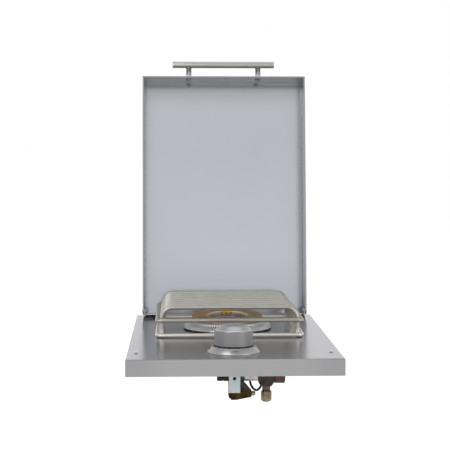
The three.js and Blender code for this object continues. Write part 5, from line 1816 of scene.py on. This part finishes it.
    def plate(self) -> None:
        """Makes the pale bracket plate with its hole and screw."""
        low, high = corners("bracket_plate")
        plate = finish_mesh("bracket_plate_pressed", block(low, high), ZINC_PLATE)
        soften(plate, self.plate_edge)
        x, y, z = self.place
        (hole, hole_height), (screw, screw_height) = self.plate_hole, self.plate_screw
        front = self.plate_front
        carve(plate, cylinder(hole, front, 0.0, 32, Axis.Y, ((low.x + high.x) / 2, y, z + hole_height)))
        carve(plate, cylinder(screw, front, 0.0, 24, Axis.Y, self.at(screw_height)))
        sharpen(plate.data)
        settle(plate, "burner", "zinc_plate", "bracket_plate")
        seat = Matrix.Translation((x, low.y - 0.05 * MM, z + screw_height)) @ Matrix.Rotation(QUARTER, 4, "X")
        made = cross_screw("bracket_plate_screw", seat, self.plate_screw_head, self.plate_screw_shank)
        settle(made, "burner", "screw_steel")

    def orifice(self) -> None:
        """Makes the gas orifice, a hexagon with a turned tip."""
        radius, start, end = self.jet
        tip_radius, tip, bore = self.jet_tip
        centre = self.at(self.outlet)
        hexagon = [(0.0, start), (radius, start), (radius, end), (0.0, end)]
        piece = turned_piece("orifice_hexagon", hexagon, BURNER_BRASS, 6, Axis.Y, centre)
        nose = rod(tip_radius, end - OVERCUT, end + tip, 0.6 * MM)
        carve(piece, revolve(nose, 32, Axis.Y, centre), "UNION")
        carve(piece, cylinder(bore, start - OVERCUT, end + tip + OVERCUT, 16, Axis.Y, centre))
        settle(piece, "burner", "burner_brass", "orifice")

    def spring(self) -> None:
        """Winds the return spring, short enough to leave room for the pushed stem."""
        low, high = corners("return_spring")
        wire = self.spring_wire
        radius = (high.x - low.x) / 2 - wire
        start, end = low.z + wire, high.z - wire - self.spring_room
        steps = self.spring_turns * 20
        path = []
        for i in range(steps + 1):
            angle = FULL_TURN * self.spring_turns * i / steps
            path.append(Vector((self.place[0] + radius * math.cos(angle), self.place[1] + radius * math.sin(angle),
                                start + (end - start) * i / steps)))
        spring = finish_mesh("return_spring_wound", sweep(path, wire, 10), SCREW_STEEL)
        settle(spring, "plug", "screw_steel", "return_spring")

    def slot_cutters(self, start: float, end: float) -> Mesh:
        """Returns the three air slots as cutting solids.

        Args:
            start: Where they start, from the valve's axis.
            end: Where they end.
        """
        inner, outer, span = self.slots
        centre = Vector(self.at(self.outlet))

        def fill(shape: Shape) -> None:
            """Adds a prism along y for each slot."""
            for i in range(3):
                turn = FULL_TURN * i / 3
                outline = [*arc((0.0, 0.0), (outer, outer), turn - span / 2, turn + span / 2, 10),
                           *arc((0.0, 0.0), (inner, inner), turn + span / 2, turn - span / 2, 8)]
                loft(shape, [[shape.verts.new(Vector((x, y, z)) + centre) for x, z in outline]
                             for y in (start, end)])

        return mesh_of(fill)

    def shutter(self) -> None:
        """Makes the turning air shutter."""
        low, high = corners("air_shutter")
        x, y, z = self.at(self.outlet)
        profile = rod(self.bell[0], low.y, high.y, 0.2 * MM, self.hub)
        disc = turned_piece("air_shutter_pressed", profile, HINGE_STEEL, self.sides, Axis.Y, (x, 0.0, z))
        carve(disc, self.slot_cutters(low.y - y - OVERCUT, high.y - y + OVERCUT))
        sharpen(disc.data)
        settle(disc, "shutter", "brushed_steel", "air_shutter")

    def route(self, start: float, lift: float) -> list[Vector]:
        """Returns the mixer's centre line from its bell to the burner's boss.

        Args:
            start: Where it starts, from the valve's axis.
            lift: How far it goes beyond the mixer's upper end.
        """
        x, y, level = self.at(self.outlet)
        high = corners("mixer_tube")[1]
        far = high.y - self.mixer[0]
        straight = [Vector((x, y + start + s, level)) for s in (0.0, 4 * MM, 9 * MM, 14 * MM, 18 * MM, self.bell[2])]
        bend = arc((far - self.elbow, level + self.elbow), (self.elbow, self.elbow), -QUARTER, 0.0, 12)
        return [*straight, *[Vector((x, along, up)) for along, up in bend], Vector((x, far, high.z + lift))]

    def mixer_tube(self) -> None:
        """Makes the mixer tube from its bell to the burner's inlet."""
        radius, wall = self.mixer
        bell, front, _ = self.bell
        line = self.route(front, 0.0)
        flare = [bell, bell, radius + 4.2 * MM, radius + 1.6 * MM, radius + 0.4 * MM, radius]
        outer = [*flare, *[radius] * (len(line) - len(flare))]
        tube = finish_mesh("mixer_tube_cast", sweep(line, outer, 48), PIPE_STEEL)
        carve(tube, sweep(self.route(front + 2 * MM, 2 * MM), [r - wall for r in outer], 40))
        start, end = front - OVERCUT, front + 4 * MM
        carve(tube, self.slot_cutters(start, end))
        carve(tube, cylinder(self.hub, start, end, 32, Axis.Y, self.at(self.outlet)))
        sharpen(tube.data)
        settle(tube, "burner", "pipe_steel", "mixer_tube")


@dataclass
class Igniter(SubAssembly):
    """Electrode, module and lead."""

    ceramic_radius: float = 3 * MM
    ribs: int = 4
    rib_depth: float = 0.5 * MM
    wire_radius: float = 0.8 * MM
    wire_bend: float = 1.6 * MM
    lead_radius: float = 1.8 * MM
    boot: Point2 = (2.6 * MM, 9 * MM)  # radius and length of the lead's boots
    shell_edge: float = 1.6 * MM
    cap_radius: float = 7.5 * MM  # radius of the module's battery cap
    cap_x: float = 14 * MM  # from the module's left side to the cap's middle
    seam: Point2 = (0.6 * MM, 1 * MM)  # width and depth of the groove round it
    coin: Point3 = (5 * MM, 0.8 * MM, 1 * MM)  # half the coin slot's length and width, and its depth
    route: tuple[Point3, ...] = (  # the lead's route in millimetres, from module to electrode
        (61.7, 120.0, 13.9), (57.1, 120.0, 13.9), (52.9, 118.0, 12.3), (49.9, 108.1, 6.2), (48.0, 98.2, -2.5),
        (45.9, 86.5, -18.0), (42.8, 81.0, -31.0), (35.6, 79.0, -37.2), (28.6, 80.4, -31.5), (24.9, 83.4, -19.4),
        (21.6, 96.2, -1.7), (20.0, 120.0, 7.0), (20.0, 165.4, 8.4), (20.0, 234.5, 8.4), (20.0, 292.8, 8.4),
        (19.6, 322.0, 4.4), (16.8, 333.2, 2.7), (14.0, 336.0, 6.9), (14.0, 336.0, 11.1),
    )

    def build(self) -> None:
        """Makes the igniter's pieces."""
        self.ceramic()
        self.spark_wire()
        self.module()
        self.lead()

    def ceramic(self) -> None:
        """Makes the ribbed ceramic."""
        low, high = corners("electrode_ceramic")
        radius, neck = self.ceramic_radius, self.ceramic_radius / 2
        seat = DECK + 1 * MM
        profile = [(0.0, low.z), (neck, low.z), (radius, low.z + neck), (radius, seat)]
        step = (high.z - neck - seat) / (self.ribs * 2)
        waist = radius - self.rib_depth
        for i in range(self.ribs):
            at = seat + step * (2 * i + 1)
            profile += [(waist, at - step * 0.4), (waist, at + step * 0.2),
                        (radius, at + step * 0.6), (radius, at + step)]
        profile += [(neck + 0.6 * MM, high.z - 0.2 * MM), (neck, high.z), (0.0, high.z)]
        centre = ((low.x + high.x) / 2, (low.y + high.y) / 2, 0.0)
        ceramic = turned_piece("electrode_ceramic_fired", profile, CERAMIC, 40, Axis.Z, centre)
        settle(ceramic, "burner", "ceramic", "electrode_ceramic")

    def spark_wire(self) -> None:
        """Makes the bent spark wire."""
        low, high = corners("electrode_wire")
        x, y, top, bend = (low.x + high.x) / 2, low.y + self.wire_radius, high.z - self.wire_radius, self.wire_bend
        curve = arc((y + bend, top - bend), (bend, bend), math.pi, QUARTER, 8)
        path = [Vector((x, y, low.z)), *[Vector((x, along, up)) for along, up in curve], Vector((x, high.y, top))]
        wire = finish_mesh("electrode_wire_bent", sweep(path, self.wire_radius, 16), SCREW_STEEL)
        settle(wire, "burner", "screw_steel", "electrode_wire")

    def module(self) -> None:
        """Makes the spark module with its battery cap and the cap's coin slot."""
        low, high = corners("igniter_module")
        shell = finish_mesh("igniter_module_shell", block(low, high), BLACK_PLASTIC)
        soften(shell, self.shell_edge)
        cap = Vector((low.x + self.cap_x, (low.y + high.y) / 2, low.z))
        width, depth = self.seam
        inner, outer = self.cap_radius, self.cap_radius + width
        groove = [(inner, -depth), (outer, -depth), (outer, depth), (inner, depth)]
        carve(shell, revolve(groove, 40, Axis.Z, cap))
        coin = Vector(self.coin)
        carve(shell, block(cap - coin, cap + coin + Vector((0.0, 0.0, 0.2 * MM))))
        sharpen(shell.data)
        settle(shell, "burner", "black_plastic", "igniter_module")

    def lead(self) -> None:
        """Lays the ignition lead as a curve, with a boot at each end."""
        points = smooth_path([Vector((x * MM, y * MM, z * MM)) for x, y, z in self.route], 6)
        data = bpy.data.curves.new("ignition_lead", "CURVE")
        data.dimensions = "3D"
        data.bevel_depth = self.lead_radius
        data.bevel_resolution = 4
        data.use_fill_caps = True
        line = data.splines.new("POLY")
        line.points.add(len(points) - 1)
        for node, point in zip(line.points, points):
            node.co = (*point, 1.0)
        data.materials.append(LEAD_JACKET.material())
        lead = bpy.data.objects.new("ignition_lead_cable", data)
        bpy.context.scene.collection.objects.link(lead)
        length = sum((b - a).length for a, b in zip(points, points[1:]))
        boots = [self.lead_boot("module", points[0], points[4]), self.lead_boot("electrode", points[-1], points[-4])]
        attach(lead, "burner")
        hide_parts("ignition_lead")
        tuple(points[0])
        log.info("%s: %.0f mm long", lead.name, length / MM)

    def lead_boot(self, name: str, end: Vector, inner: Vector) -> Piece:
        """Makes the rubber boot over one end of the lead.

        Args:
            name: Where it sits.
            end: The lead's end.
            inner: A point further along the lead.

        Returns:
            The boot.
        """
        radius, length = self.boot
        hole = self.lead_radius + 0.1 * MM
        profile = rounded([(hole, 0.0), (radius, 0.0), (radius, length * 0.6), (hole + 0.5 * MM, length),
                           (hole, length)], 0.3 * MM)
        boot = turned_piece(f"lead_boot_{name}", profile, BLACK_RUBBER, 32)
        direction = (inner - end).normalized().to_track_quat("Z", "Y")
        boot.data.transform(Matrix.Translation(end) @ direction.to_matrix().to_4x4())
        return settle(boot, "burner", "black_rubber")


def write_sizes(before: tuple[Vector, Vector]) -> None:
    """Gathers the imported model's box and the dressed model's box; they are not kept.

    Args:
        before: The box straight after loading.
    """
    boxes = {"cad": before, "visual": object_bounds()}
    {name: [list(corner) for corner in box] for name, box in boxes.items()}


def main() -> None:
    """Loads the frame, sets up the studio and dresses the burner."""
    logging.basicConfig(level=logging.INFO, format="%(name)s: %(message)s")
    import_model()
    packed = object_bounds()
    Studio().build()
    for part in (Igniter(), Tray(), Lid(), Grate(), DripPan(), RingBurner(), Control(), GasLine()):
        log.info("building %s", type(part).__name__)
        part.build()
        part.dress()
    write_sizes(packed)


if __name__ == "__main__":
    main()
